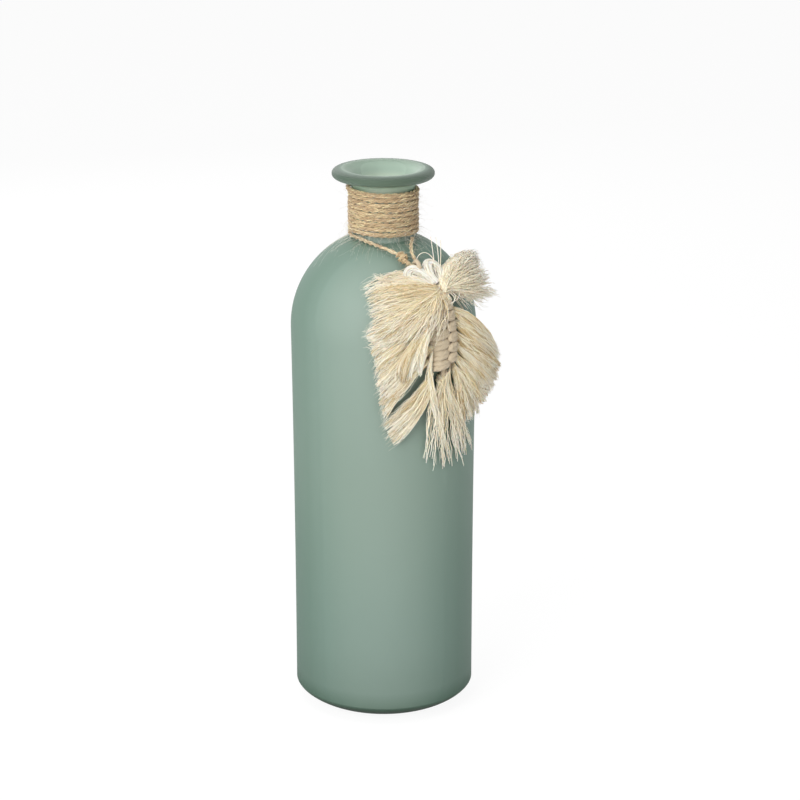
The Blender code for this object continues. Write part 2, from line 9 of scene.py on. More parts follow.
import bpy
import numpy as np
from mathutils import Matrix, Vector


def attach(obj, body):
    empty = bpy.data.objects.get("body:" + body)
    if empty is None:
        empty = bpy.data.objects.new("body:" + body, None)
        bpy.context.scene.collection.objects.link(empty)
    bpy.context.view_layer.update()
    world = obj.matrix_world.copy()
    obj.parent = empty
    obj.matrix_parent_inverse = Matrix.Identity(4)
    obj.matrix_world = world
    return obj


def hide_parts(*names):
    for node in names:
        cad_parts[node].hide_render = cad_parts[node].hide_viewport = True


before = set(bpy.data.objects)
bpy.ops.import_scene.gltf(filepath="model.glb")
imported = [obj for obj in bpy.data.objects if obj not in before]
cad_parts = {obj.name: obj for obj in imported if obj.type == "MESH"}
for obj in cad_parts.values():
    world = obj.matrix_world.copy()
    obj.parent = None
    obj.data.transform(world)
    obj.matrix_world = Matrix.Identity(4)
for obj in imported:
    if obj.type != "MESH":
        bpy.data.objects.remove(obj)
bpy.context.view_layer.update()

bl_info = {
    "name": "Bottle vase with macrame charm",
    "version": (1, 0, 0),
    "blender": (4, 5, 0),
    "location": "3D View > Sidebar > Vase",
    "description": "Frosted glass, jute twine and combed cotton for a bottle vase",
    "category": "Object",
}

MM = 0.001
SECOND_SLOT = 1  # a piece's second material: knotted or white cotton

# Glass, as built
VASE_HEIGHT = 300.0
SHOULDER_RADIUS = 50.0
SHOULDER_START = 213.4
SHOULDER_RISE = 49.4
SHOULDER_EXPONENTS = (1.41, 0.95)
FOOT_RADIUS = 49.1
HEEL_WIDTH = 17.0
HEEL_HEIGHT = 9.6
HEEL_EXPONENT = 1.36
NECK_RADIUS = 16.3
NECK_FOOT = 262.8
NECK_FILLET = 1.5
LIP_COVE_WIDTH = 5.0
LIP_COVE_HEIGHT = 9.0
LIP_CENTRE_RADIUS = 22.1
LIP_HALF_WIDTH = 5.3
LIP_HALF_HEIGHT = 2.9
LIP_EXPONENT = 0.88
WALL = 3.0
BASE_THICKNESS = 7.0
INNER_HEEL = 11.0
FUNNEL_DEPTH = 16.0
BOTTLE_SEGMENTS = 192

# Winding, as built
WINDING_RADIUS = 17.84
WINDING_BOTTOM = 265.3
WINDING_END_AZIMUTH = -80.0
TURNS = 9.1
TURN_PITCH = 2.66

# Charm, as built
SPINE_AZIMUTH = 36.0
ROWS = 6
FIRST_ROW = 232.4
ROW_PITCH = 5.9
PIVOT = (17.61, -33.82, 254.2)
SWING_AZIMUTH = 30.0
BINDING_AZIMUTH = 36.1
BINDING_HEIGHT = 243.8

# The hanging loop's route in the source
LOOP_ROUTE = (
    (-17.45, -5.9, 265.3), (-17.35, -8.09, 265.3), (-15.18, -9.49, 264.7), (-11.54, -13.75, 264.3),
    (-7.21, -18.77, 263.6), (-2.03, -23.17, 262.7), (3.31, -26.97, 261.4), (8.24, -29.72, 259.6),
    (11.94, -32.44, 257.2), (14.84, -33.97, 255.2), (17.61, -33.82, 254.2), (18.1, -32.1, 255.2),
    (16.6, -29.32, 257.3), (15, -24.45, 259.8), (14.7, -19.61, 261.7), (14.9, -15.28, 263.1),
    (15.32, -9.95, 264.15),
)
LOOP_KNOT_AT = 7


def lock(*numbers):
    """Combed ends of a cord: their root, then each edge's middle and tip, three numbers each."""
    places = np.array(numbers, float).reshape(-1, 3)
    return places[0], places[1::2], places[2::2]


# Azimuth, height and lift of each place
LEFT_LOCKS = (
    lock(29.5, 233, 3.6, 10.6, 231.1, 5, -7.4, 225.5, 3, 10.4, 224.1, 5, -6, 217, 3),
    lock(29.2, 227, 3.4, 9.5, 223.5, 4.5, -5.4, 215.5, 3, 10, 217, 4.5, -2.4, 205, 3),
    lock(29, 221, 3.4, 9.5, 215, 4.2, -3.4, 205.5, 3, 10.5, 207.5, 4.2, -0.6, 195, 3),
    lock(28.8, 215, 3.4, 10.5, 206.5, 4, -2.4, 197, 3, 12.5, 199, 4, 1.2, 185, 3),
    lock(28.8, 209, 3.4, 12.5, 199, 3.8, -1, 187.5, 2.8, 13, 195.2, 3.8, 2.2, 178.8, 2.8),
    lock(28, 200, 3.6, 15.4, 186.4, 3.4, 1.6, 175.4, 2.4, 22.6, 182.6, 3.4, 8.1, 164.6, 2.4),
)
RIGHT_LOCKS = (
    lock(43, 232, 4.6, 55, 225, 6.6, 74, 208.2, 10.6, 55, 220, 7.5, 75, 202.5, 12),
    lock(43.2, 226.2, 4.6, 58.5, 215.5, 8, 75.5, 203, 12.4, 58.5, 211, 8, 76, 195.5, 12.4),
    lock(43.2, 220.3, 4.6, 60.5, 207.5, 8.6, 76, 197, 12.6, 60.5, 201.5, 8.2, 76, 187, 11.4),
    lock(43.2, 214.4, 4.6, 61.5, 201.5, 9, 76, 190, 11.8, 60.5, 195, 8, 73, 181.5, 9.4),
    lock(43, 208.5, 4.4, 58.5, 194, 7.5, 72, 183.5, 10, 56, 189, 6.5, 68.5, 176, 7),
    lock(42.5, 202.6, 4.2, 52.5, 189.5, 6, 69.5, 172.5, 4.8, 46, 187, 5, 52, 170, 3.6),
)
# A dark golden lock over the left fringe: partly darker strands, partly painted shade in the gap
# between the left locks and the middle strands
GOLDEN_SHADE_LOCK = lock(27.5, 230, 6.6, 11.8, 216.5, 9.4, 7, 198.4, 7, 17.2, 215.5, 9, 12.8, 197.6, 6.6)
CREAM_LOCK = lock(
    27.5, 231, 7.8, 17.2, 217.5, 9.2, 12.4, 198.5, 6, 22.6, 215.5, 8.8, 20.4, 200, 6.2,
)
LEFT_TUFT = lock(
    35, 243.4, 6.2, 15.5, 249.9, 3.8, -9.6, 245.4, 2.4, 13.5, 246.6, 6.2, -8, 241, 3.2,
    13, 241, 6.8, -6, 235, 3.6, 12.5, 236, 7, -4.8, 227.5, 4, 16, 234.5, 7.8, -2, 221.5, 5.6,
    24, 235, 8.6, 12, 221.5, 8, 31.5, 235.5, 8.6, 25, 221, 8.8,
)
HEAD_FRINGE = lock(
    36.5, 244, 6.8, 31.5, 239, 8, 26.5, 232.5, 8, 36.2, 239, 8.2, 34.6, 233, 8.6,
    41, 240, 7.2, 40.4, 235.4, 7.8,
)
LEFT_WISP = lock(
    14, 248.4, 4.6, 4.5, 250.6, 4.6, -5.5, 253.6, 4.4, 3, 249.4, 4.6, -8.5, 249.4, 3.6,
)
RIGHT_TUFT = lock(
    38.5, 244.8, 7.4, 43, 250.6, 7.5, 58, 256, 9, 48, 253.5, 9.5, 67, 258, 12.6,
    52.5, 254, 10.5, 73, 257.8, 14.6, 55.5, 253, 11, 77, 255, 14.2,
    57.5, 249.5, 11, 77, 251.5, 13.5, 58, 244.5, 10.5, 77.5, 243.5, 13,
    56.5, 240.5, 9, 77.5, 234, 13, 51, 240, 6.5, 66, 229.5, 7,
)
TAIL = lock(
    35.5, 199, 4.4, 29, 180, 3.6, 26.3, 152.7, 1.6, 33, 178, 3.6, 34.9, 150.1, 1.6,
    36, 178, 3.6, 39.5, 153, 1.6, 39.5, 177, 3.6, 48.8, 148.1, 1.6,
    43.5, 177, 3.6, 56.5, 153.2, 1.6, 47, 176, 3.6, 64.1, 157, 1.6, 49.5, 175, 3.6, 70, 146.5, 1.6,
)
TAIL_FROM_LEFT = lock(27, 212, 5.6, 26, 190, 4.4, 37, 162, 2, 29.5, 188, 4.8, 41, 156, 2)
LEFT_PUFF = (
    (35, 246, 5.6), (31.5, 249.6, 5), (27, 252, 4.4), (22.6, 252.6, 3.9), (19.6, 251, 3.2),
    (20, 249.2, 3), (24, 247.8, 3.4), (30, 246.4, 4.4), (34, 244.6, 5.2),
)
RIGHT_PUFF = (
    (37, 246.5, 6.4), (34.4, 249.6, 6.2), (34.6, 252.8, 5.4), (37.6, 254.6, 5.2),
    (41.4, 253.8, 5.2), (43.2, 250.8, 5.6), (41.6, 247.8, 6.2), (39.2, 245.6, 6.6),
)
THREADS = (
    (
        (38.5, 245.5, 8.4), (43, 246, 9.2), (47, 244, 9.6), (48.2, 240.8, 9.6), (45, 237.8, 9.2),
        (39, 236.8, 8.8), (32, 235, 7.8), (26.5, 231.4, 7), (22.8, 227.4, 6.6), (22.3, 222.6, 6.2),
    ),
    (
        (37.5, 244.6, 8), (42, 243, 9), (44.6, 239.8, 9.4), (41.8, 237, 9.2), (36.5, 236.4, 8.8),
        (33, 233.6, 8.2),
    ),
    (
        (28.5, 255.2, 4.6), (30, 258.6, 6), (34.5, 260.6, 7.4), (39.6, 260.2, 7.6),
        (43, 257.2, 6.8), (42.8, 252, 6.6), (39.5, 247, 7.2),
    ),
    ((38, 250, 7), (40.4, 256, 8), (43, 262, 10), (46.5, 268, 12.5)),
    ((40, 246, 7.6), (42.4, 254, 8.4), (45, 261, 11), (48.5, 268, 14)),
    ((40.6, 247, 7.4), (43.6, 254, 8.4), (46.6, 260, 11), (50, 266.6, 14.4)),
    (
        (39, 243.6, 8.4), (42, 241.6, 9.2), (43.4, 238.4, 9.2), (40, 235.4, 8.8), (34, 233.6, 8),
        (29, 229.6, 7),
    ),
)


# The glass


def quarter(start, end, steps):
    return np.radians(np.linspace(start, end, steps + 1))


def shoulder_point(angle, wall=0.0):
    """Radius and height on the shoulder's curve, 0 at its start and 90 degrees at the neck."""
    power_r, power_z = SHOULDER_EXPONENTS
    neck = NECK_RADIUS - wall
    radius = neck + (SHOULDER_RADIUS - wall - neck) * max(math.cos(angle), 0.0) ** power_r
    return radius, SHOULDER_START + (SHOULDER_RISE - wall) * math.sin(angle) ** power_z


def body_point(share, wall=0.0):
    radius = FOOT_RADIUS + (SHOULDER_RADIUS - FOOT_RADIUS) * share**3 - wall
    return radius, HEEL_HEIGHT + share * (SHOULDER_START - HEEL_HEIGHT)


def outside_outline():
    """Radius and height up the outside, from the base's edge to the lip's underside."""
    points = []
    for angle in quarter(0, 90, 20):
        radius = FOOT_RADIUS - HEEL_WIDTH * (1 - math.sin(angle) ** HEEL_EXPONENT)
        points.append((radius, HEEL_HEIGHT * (1 - max(math.cos(angle), 0.0) ** HEEL_EXPONENT)))
    points += [body_point(share) for share in np.linspace(0, 1, 25)[1:]]
    share = NECK_FILLET / (SHOULDER_RADIUS - NECK_RADIUS)
    shoulder_end = math.acos(share ** (1 / SHOULDER_EXPONENTS[0]))
    points += [shoulder_point(shoulder_end * step / 48) for step in range(1, 49)]
    edge_radius, edge_height = points[-1]
    for angle in quarter(0, 90, 8)[1:]:
        radius = edge_radius - NECK_FILLET * math.sin(angle)
        points.append((radius, edge_height + NECK_FILLET * (1 - math.cos(angle))))
    cove_start = VASE_HEIGHT - 2 * LIP_HALF_HEIGHT - LIP_COVE_HEIGHT + 0.3
    for angle in quarter(0, 84, 12):
        radius = NECK_RADIUS + LIP_COVE_WIDTH * (1 - math.cos(angle))
        points.append((radius, cove_start + LIP_COVE_HEIGHT * math.sin(angle)))
    return points


def bead_outline():
    """The lip's rounded bead, from its underside round its edge to its top."""
    points = []
    for angle in quarter(-84, 84, 28):
        side = math.cos(angle) ** LIP_EXPONENT
        rise = math.copysign(abs(math.sin(angle)) ** LIP_EXPONENT, angle)
        height = VASE_HEIGHT - LIP_HALF_HEIGHT + LIP_HALF_HEIGHT * rise
        points.append((LIP_CENTRE_RADIUS + LIP_HALF_WIDTH * side, height))
    return points


def inside_outline():
    """Radius and height down the inside, from the lip's top to the middle of the inner base."""
    bore = NECK_RADIUS - WALL
    points = []
    for angle in quarter(90, 0, 20):
        radius = bore + (LIP_CENTRE_RADIUS - bore) * (1 - math.cos(angle))
        points.append((radius, VASE_HEIGHT - FUNNEL_DEPTH * (1 - math.sin(angle))))
    points += [shoulder_point(angle, WALL) for angle in quarter(90, 0, 30)]
    low = INNER_HEEL / SHOULDER_START
    points += [body_point(share, WALL) for share in np.linspace(1, low, 12)[1:-1]]
    heel_radius = FOOT_RADIUS - WALL
    for angle in quarter(0, 90, 14):
        radius = heel_radius - INNER_HEEL * (1 - math.cos(angle))
        points.append((radius, BASE_THICKNESS + INNER_HEEL * (1 - math.sin(angle))))
    points += [(heel_radius - INNER_HEEL - step * 7.0, BASE_THICKNESS) for step in range(1, 5)]
    return points


# How thick the glass looks, by height inside, by share round the bead and by height outside
INSIDE_THICK = (
    (7.0, 30.0, 270.0, 284.0, 290.0, 295.0, 298.0, 300.0),
    (0.9, 0.3, 0.12, 0.02, 0.03, 0.10, 0.22, 0.55),
)
BEAD_THICK = ((0.0, 0.1, 0.2, 0.5, 0.7, 1.0), (0.62, 0.85, 0.93, 0.88, 0.76, 0.5))
OUTSIDE_THICK = (
    (0.0, 3.0, 5.0, 7.5, 10.0, 14.0, 40.0, 262.0, 284.0, 294.0),
    (1.0, 0.99, 0.95, 0.78, 0.38, 0.22, 0.12, 0.05, 0.0, 0.3),
)


def even_turns(count):
    return np.linspace(0, math.tau, count, endpoint=False)


def round_axis(radius, turn, height):
    """Points in metres, from a distance to the vase's axis, a turn from the front and a height."""
    x, y = radius * np.sin(turn), -radius * np.cos(turn)
    return np.stack(np.broadcast_arrays(x, y, height), -1) * MM


def point_values(mesh, name, values, kind="FLOAT", key="value"):
    """Stores values of the mesh's points for its material to read."""
    store = mesh.attributes.new(name, kind, "POINT")
    store.data.foreach_set(key, values.astype(np.float32).ravel())


def turned_glass(name):
    """The bottle's outline turned round the axis, with how thick the glass looks at each point."""
    inside, bead, outside = (
        np.array(points[::-1]) for points in (inside_outline(), bead_outline(), outside_outline())
    )
    base = [(FOOT_RADIUS - HEEL_WIDTH - step * 6.0, 0.0) for step in range(1, 5)]
    outline = np.vstack((inside, bead, outside, base))
    thick = np.concatenate(
        (
            np.interp(inside[:, 1], *INSIDE_THICK),
            np.interp(np.linspace(0, 1, len(bead)), *BEAD_THICK),
            np.interp(outside[:, 1], *OUTSIDE_THICK),
            np.ones(len(base)),
        )
    )
    radius, height = outline[:, :1], outline[:, 1:]
    turns = even_turns(BOTTLE_SEGMENTS)
    radius = radius + 0.05 * np.sin(2 * turns + height / 41) * (radius > 48)
    rows = round_axis(radius, turns, height)
    middles = ((0, 0, BASE_THICKNESS * MM), (0, 0, 0))
    points = np.vstack((rows.reshape(-1, 3), *middles))
    index = np.arange(rows[..., 0].size).reshape(rows.shape[:2])
    after = np.roll(index, -1, axis=1)
    faces = np.stack((index[:-1], after[:-1], after[1:], index[1:]), -1).reshape(-1, 4).tolist()
    ends = np.stack((index[0], after[0], index[-1], after[-1]), -1).tolist()
    for first, first_after, last, last_after in ends:
        faces += [(index.size, first_after, first), (index.size + 1, last, last_after)]
    mesh = bpy.data.meshes.new(name)
    mesh.from_pydata(points.tolist(), [], faces)
    inner = np.arange(len(outline)) < len(inside)
    point_values(mesh, "thick", np.append(np.repeat(thick, BOTTLE_SEGMENTS), (0.9, 1.0)))
    point_values(mesh, "inner", np.append(np.repeat(inner, BOTTLE_SEGMENTS), (1.0, 0.0)))
    mesh.validate()
    mesh.shade_smooth()
    return mesh


# Places beside the glass


def glass_profile():
    """Height and radius of the glass from the heel up to the lip's underside."""
    radius, height = body_point(np.linspace(0, 1, 60)[:-1])
    angle = np.radians(np.linspace(0, 86, 240))
    rise = SHOULDER_START + SHOULDER_RISE * np.sin(angle) ** SHOULDER_EXPONENTS[1]
    across = NECK_RADIUS + (SHOULDER_RADIUS - NECK_RADIUS) * np.cos(angle) ** SHOULDER_EXPONENTS[0]
    height = np.concatenate((height, rise, [NECK_FOOT + 0.5, NECK_FOOT + 25.0]))
    radius = np.concatenate((radius, across, [NECK_RADIUS, NECK_RADIUS]))
    return height, radius


PROFILE = glass_profile()


def beside_glass(places):
    """Points in metres for an array of azimuth, height and lift, as the source places them.

    A ball whose radius is the lift just touches the glass from outside.
    """
    places = np.asarray(places, float)
    azimuth, height = places[..., 0], places[..., 1]
    lift = np.maximum(places[..., 2], 0.05)
    heights, radii = PROFILE
    share = np.sin(np.linspace(-1, 1, 61) * math.pi / 2)
    beside = np.interp(height[..., None] + lift[..., None] * share, heights, radii, left=0.0)
    radius = (beside + lift[..., None] * np.sqrt(1 - share**2)).max(axis=-1)
    return round_axis(radius, np.radians(azimuth), height)


def spline(points, steps):
    """A Catmull-Rom curve through the rows of points, with steps between each two."""
    ends = np.vstack((points[:1], points, points[-1:]))
    t = np.linspace(0, 1, steps, endpoint=False)[:, None]
    rows = []
    for before, start, end, after in zip(ends, ends[1:], ends[2:], ends[3:]):
        square = 2 * before - 5 * start + 4 * end - after
        cube = 3 * start - before - 3 * end + after
        rows.append(0.5 * (2 * start + (end - before) * t + square * t**2 + cube * t**3))
    return np.vstack((*rows, points[-1:]))


def run_along(path):
    """How far along the path each of its points lies."""
    return np.concatenate(([0], np.cumsum(np.linalg.norm(np.diff(path, axis=0), axis=1))))


def resampled(path, spacing):
    """The same path with points at an even spacing."""
    run = run_along(path)
    places = np.linspace(0, run[-1], max(2, round(run[-1] / spacing) + 1))
    return np.stack([np.interp(places, run, path[:, axis]) for axis in range(3)], -1)


def carried_frames(path):
    """Directions along, across and other at each point, carried along the path without twist."""
    along = np.gradient(path, axis=0)
    along /= np.linalg.norm(along, axis=1)[:, None]
    across = np.empty_like(path)
    first = np.cross(along[0], (0.0, 0.0, 1.0))
    if np.linalg.norm(first) < 0.1:
        first = np.cross(along[0], (0.0, 1.0, 0.0))
    across[0] = first / np.linalg.norm(first)
    for index in range(1, len(path)):
        carried = across[index - 1] - along[index] * across[index - 1].dot(along[index])
        across[index] = carried / np.linalg.norm(carried)
    return along, across, np.cross(along, across)


def unit(vectors):
    return vectors / (np.linalg.norm(vectors, axis=-1)[..., None] + 1e-12)


def outward(across, other, turn):
    """The direction at a turn round a path, between its two side directions."""
    return across * np.cos(turn)[..., None] + other * np.sin(turn)[..., None]


def rings_round(path, size, across, other, sides):
    """A ring of points round each point of a path, as far from it as size says."""
    turns = even_turns(sides)
    size = size[..., None]
    return (
        path[..., None, :]
        + size * across[..., None, :] * np.cos(turns)[:, None]
        + size * other[..., None, :] * np.sin(turns)[:, None]
    )


# Strands


class Skin:
    """Collects tubes into one mesh, with each point's run along its strand and its shade."""

    def __init__(self):
        self.points, self.quads, self.caps, self.slots = [], [], [], []
        self.run, self.shade, self.grain = [], [], []
        self.count = 0

    def tubes(self, rings, run, shade, grain, slot=0, closed=False):
        """Adds n tubes: rings is n by steps by sides by 3, run and shade n by steps."""
        index = self.count + np.arange(rings[..., 0].size).reshape(rings.shape[:3])
        after = np.roll(index, -1, axis=2)
        if closed:
            far, far_after = np.roll(index, -1, axis=1), np.roll(after, -1, axis=1)
            quads = np.stack((index, after, far_after, far), -1)
        else:
            quads = np.stack((index[:, :-1], after[:, :-1], after[:, 1:], index[:, 1:]), -1)
            self.caps += [(row[0][::-1].tolist(), slot) for row in index]
            self.caps += [(row[-1].tolist(), slot) for row in index]
        quads = quads.reshape(-1, 4)
        self.quads.append(quads)
        self.slots.append(np.full(len(quads), slot))
        self.points.append(rings.reshape(-1, 3))
        for store, value in ((self.run, run), (self.shade, shade)):
            store.append(np.broadcast_to(value[:, :, None], index.shape).reshape(-1))
        self.grain.append(np.broadcast_to(grain, rings.shape).reshape(-1, 3))
        self.count += index.size

    def mesh(self, name):
        mesh = bpy.data.meshes.new(name)
        faces = np.vstack(self.quads).tolist() + [cap for cap, _ in self.caps]
        slots = np.concatenate(self.slots + [np.array([slot for _, slot in self.caps], int)])
        mesh.from_pydata(np.vstack(self.points), [], faces)
        mesh.polygons.foreach_set("material_index", slots.astype(np.int32))
        point_values(mesh, "run", np.concatenate(self.run))
        point_values(mesh, "shade", np.concatenate(self.shade))
        point_values(mesh, "grain", np.vstack(self.grain), "FLOAT_VECTOR", "vector")
        mesh.validate()
        mesh.shade_smooth()
        return mesh


def fibre_tubes(skin, paths, radii, shade, sides=4, slot=0):
    """Fine round fibres along n paths at once, tapering to their tips."""
    count, steps, _ = paths.shape
    along = unit(np.gradient(paths, axis=1))
    side = unit(np.cross(unit(paths[:, -1] - paths[:, 0]), (0.31, 0.52, 0.79)))[:, None, :]
    across = unit(side - along * np.sum(along * side, axis=2)[..., None])
    rings = rings_round(paths, radii[..., None], across, np.cross(along, across), sides)
    run = np.broadcast_to(np.linspace(0, 1, steps), (count, steps))
    skin.tubes(rings, run, np.broadcast_to(shade[:, None], (count, steps)), rings / MM, slot)


def soft_cord(skin, path, radius, rng, sides=28, ridges=11, lay=14.0, depth=0.07, closed=False):
    """A soft untwisted cord: one thick round with fine ridges that run along it."""
    _, across, other = carried_frames(path)
    step = np.linalg.norm(np.diff(path, axis=0, append=path[:1] if closed else path[-1:]), axis=1)
    run = np.concatenate(([0], np.cumsum(step)[:-1])) / MM
    if closed:
        total = run[-1] + step[-1] / MM
        lay = total / max(1, round(total / lay))
    swirl = even_turns(sides) + math.tau * run[:, None] / lay
    bumps = np.zeros_like(swirl)
    for harmonic in (ridges, ridges // 2, 3):
        phase, wave = rng.uniform(0, math.tau, 2)
        drift = 0.0 if closed else 0.5 * np.sin(run[:, None] * 0.9 + wave)
        bumps += np.cos(harmonic * swirl + phase + drift) / (1 + 6 / harmonic)
    size = np.broadcast_to(radius, len(path))[:, None] * MM * (1 + depth * bumps)
    rings = rings_round(path, size, across, other, sides)
    grain = np.stack(
        (np.broadcast_to(run[:, None], swirl.shape), 3 * np.cos(swirl), 3 * np.sin(swirl)), -1
    )
    shade = np.full((1, len(path)), 0.5) + rng.uniform(-0.1, 0.1)
    run = run[None] / max(run[-1], 1e-9)
    skin.tubes(rings[None], run, shade, grain[None], SECOND_SLOT, closed)


def twisted_twine(skin, path, radius, rng, lay, plies=2, fibres=11):
    """Jute twine: plies laid round each other, each a core under fibres that run along it; the
    core's dark tone is painted shade in the gaps between the fibres.
    """
    spacing, wobble, thick = 0.5, 0.07, 0.12
    path = resampled(path, spacing * MM)
    _, across, other = carried_frames(path)
    run = np.arange(len(path)) * spacing
    knots = np.arange(0, run[-1] + 8, 3.0)
    ply = radius * (0.56 if plies == 2 else 0.52)
    offset = radius - ply
    drift = 0.35 * np.interp(run, knots, rng.normal(0, 1, len(knots)))
    steps = np.arange(14)
    for strand in range(plies):
        phase = math.tau * (strand / plies - run / lay) + drift
        uneven = 1 + wobble * np.interp(run, knots, rng.normal(0, 1, len(knots)))
        centre = path + MM * offset * outward(across, other, phase)
        rings = rings_round(centre, MM * 0.84 * ply * uneven[:, None], across, other, 8)[None]
        # the core takes a dark tone so the gaps between the fibres look dark: painted shade
        skin.tubes(rings, (run / run[-1])[None], np.full((1, len(path)), 0.2), rings / MM)
        count = round(run[-1] * fibres / 9.0)
        stride = rng.uniform(0.9, 2.2, count)
        start = rng.uniform(-6, len(path) - 8, count)
        at = np.round(start[:, None] + stride[:, None] * steps)
        at = np.clip(at, 0, len(path) - 1).astype(int)
        at = at[at[:, -1] > at[:, 0] + 5]
        count = len(at)
        turn = rng.uniform(0, math.tau, count)[:, None] + math.tau * run[at] / (lay * 1.6)
        turn = turn + 0.25 * np.sin(run[at] * 0.7 + rng.uniform(0, 6, count)[:, None])
        lift = 0.93 + 0.10 * rng.random(count)[:, None] * np.sin(math.pi * steps / 13)
        away = MM * ply * uneven[at] * lift
        paths = centre[at] + away[..., None] * outward(across[at], other[at], turn)
        taper = np.sin(math.pi * (steps + 1.5) / 16)
        radii = MM * thick * rng.uniform(0.6, 1.3, count)[:, None] * taper
        fibre_tubes(skin, paths, radii, rng.beta(1.6, 1.4, count))


def yarn_bundle(skin, path, radii, rng):
    """A folded bundle of soft yarns that run side by side along a path."""
    count, thick, twist = 240, 0.2, 0.8
    path = resampled(path, 0.55 * MM)
    _, across, other = carried_frames(path)
    share = np.linspace(0, 1, len(path))
    radius = MM * np.interp(share, np.linspace(0, 1, len(radii)), radii)
    away = np.sqrt(rng.random(count))[:, None]
    away = away * (1 + 0.1 * np.sin(9 * share + rng.uniform(0, 6, count)[:, None]))
    turn = rng.uniform(0, math.tau, count)[:, None] + twist * share
    turn = turn + 0.35 * np.sin(5 * share + rng.uniform(0, 6, count)[:, None])
    paths = path + (radius * away)[..., None] * outward(across, other, turn)
    radii = MM * thick * rng.uniform(0.75, 1.25, count)[:, None] * np.ones(len(path))
    tone = np.clip(0.6 + rng.normal(0, 0.16, count), 0, 1)
    fibre_tubes(skin, keep_off_glass(paths), radii, tone, 5, SECOND_SLOT)


def stray_fibres(skin, path, radius, count, length, rng, thick=0.045, lean=0.5, droop=0.4,
                 pale=0.0):
    """Loose fibres that stand off a cord, curved and leaning along it."""
    path = resampled(path, 0.4 * MM)
    along, across, other = carried_frames(path)
    at = rng.integers(2, len(path) - 2, count)
    out = outward(across[at], other[at], rng.uniform(0, math.tau, count))
    lean_way = along[at] * rng.normal(0, 1, count)[:, None] * lean
    bend = rng.normal(0, 1, (count, 3))
    bend[:, 2] -= droop
    steps = np.linspace(0, 1, 7)
    size = MM * length * rng.uniform(0.25, 1.0, count) ** 1.3
    paths = (
        (path[at] + out * MM * radius * 0.8)[:, None, :]
        + (out + lean_way)[:, None, :] * (size[:, None] * steps)[..., None]
        + bend[:, None, :] * (0.45 * size[:, None] * steps**2)[..., None]
    )
    radii = MM * thick * (1 - 0.6 * steps) * rng.uniform(0.7, 1.3, count)[:, None]
    tone = np.maximum(rng.random(count), pale)
    fibre_tubes(skin, keep_off_glass(paths), radii, tone, 3)


def keep_off_glass(paths):
    """Moves points that would lie in the glass straight out of it."""
    clearance = 0.25
    heights, radii = PROFILE
    radius = np.hypot(paths[..., 0], paths[..., 1])
    level = np.clip(paths[..., 2] / MM, heights[0], heights[-1])
    least = (np.interp(level, heights, radii) + clearance) * MM
    moved = paths.copy()
    moved[..., :2] *= np.maximum(least / np.maximum(radius, 1e-6), 1)[..., None]
    return moved


def combed_lock(skin, shape, count, rng, thickness, clumps, root_size, wave, shade, thick=0.18,
                uneven=0.05, reach=0.93, gather=0.3, spill=0.06, point=0.35, root_turn=0.3,
                tones=0.17):
    """Combed fibres that fan out from a root between a lock's edges, clumped towards the tips."""
    root, middles, tips = shape
    share = np.linspace(0, 1, 15)
    places = np.linspace(0, 1, len(tips))
    centre = rng.random(clumps)
    owner = rng.integers(0, clumps, count)
    spread = np.clip(centre[owner] + rng.normal(0, 0.6 / clumps + spill, count), -0.12, 1.12)
    gather = gather * rng.uniform(0.2, 1.6, clumps)[owner][:, None] * share**1.3
    v = spread[:, None] * (1 - gather) + centre[owner][:, None] * gather

    def across(values):
        slope_low = (values[1] - values[0]) / (places[1] - places[0])
        slope_high = (values[-1] - values[-2]) / (places[-1] - places[-2])
        inside = np.stack([np.interp(v, places, values[:, axis]) for axis in range(3)], -1)
        below, above = np.minimum(v, 0)[..., None], np.maximum(v - 1, 0)[..., None]
        return inside + below * slope_low + above * slope_high

    length = reach + rng.normal(0, uneven, clumps)[owner] + rng.normal(0, uneven, count)
    length -= (rng.random(count) < 0.12) * rng.uniform(0, 0.35, count)
    t = share[None, :] * np.clip(length, 0.45, reach + 0.13)[:, None]
    middle, tip = across(middles), across(tips)
    control = 2 * middle - 0.5 * (root + tip)
    t3 = t[..., None]
    line = (1 - t3) ** 2 * root + 2 * t3 * (1 - t3) * control + t3**2 * tip
    degrees = math.degrees(1 / SHOULDER_RADIUS)
    layer = rng.random(clumps)[owner] * 0.6 + rng.random(count) * 0.4
    depth = np.interp(share, (0, 0.5, 1), thickness)
    line[..., 2] += (layer[:, None] - 0.4) * depth[None, :]
    angle = rng.uniform(0, math.tau, count)
    away = root_size * np.sqrt(rng.random(count))
    loosen = np.exp(-share * 5)[None, :]
    line[..., 0] += degrees * (away * np.cos(angle))[:, None] * loosen * root_turn
    line[..., 1] += (away * np.cos(angle))[:, None] * loosen
    line[..., 2] += (away * np.sin(angle))[:, None] * loosen
    for scale, strength in ((1.0, 0.6), (2.3, 0.34), (4.6, 0.2)):
        for axis, per_mm in ((0, degrees), (1, 1.0), (2, 0.8)):
            clump_phase = rng.uniform(0, math.tau, clumps)[owner][:, None]
            own_phase = rng.uniform(0, math.tau, count)[:, None]
            beat = math.tau * scale * t
            bend = 0.5 * np.sin(beat + clump_phase) + 0.7 * np.sin(1.3 * beat + own_phase)
            line[..., axis] += per_mm * wave * strength * bend * np.minimum(1, 3 * t)
    line[..., 2] = np.maximum(line[..., 2], 0.35 + 0.3 * layer[:, None])
    radii = MM * thick * np.interp(share, (0, 0.1, 0.85, 1), (0.8, 1.0, 0.85, point))[None, :]
    radii = radii * rng.uniform(0.7, 1.25, count)[:, None]
    tone = shade + rng.normal(0, tones, clumps)[owner] + rng.normal(0, tones, count)
    fibre_tubes(skin, beside_glass(line), radii, np.clip(tone, 0, 1))


# Materials


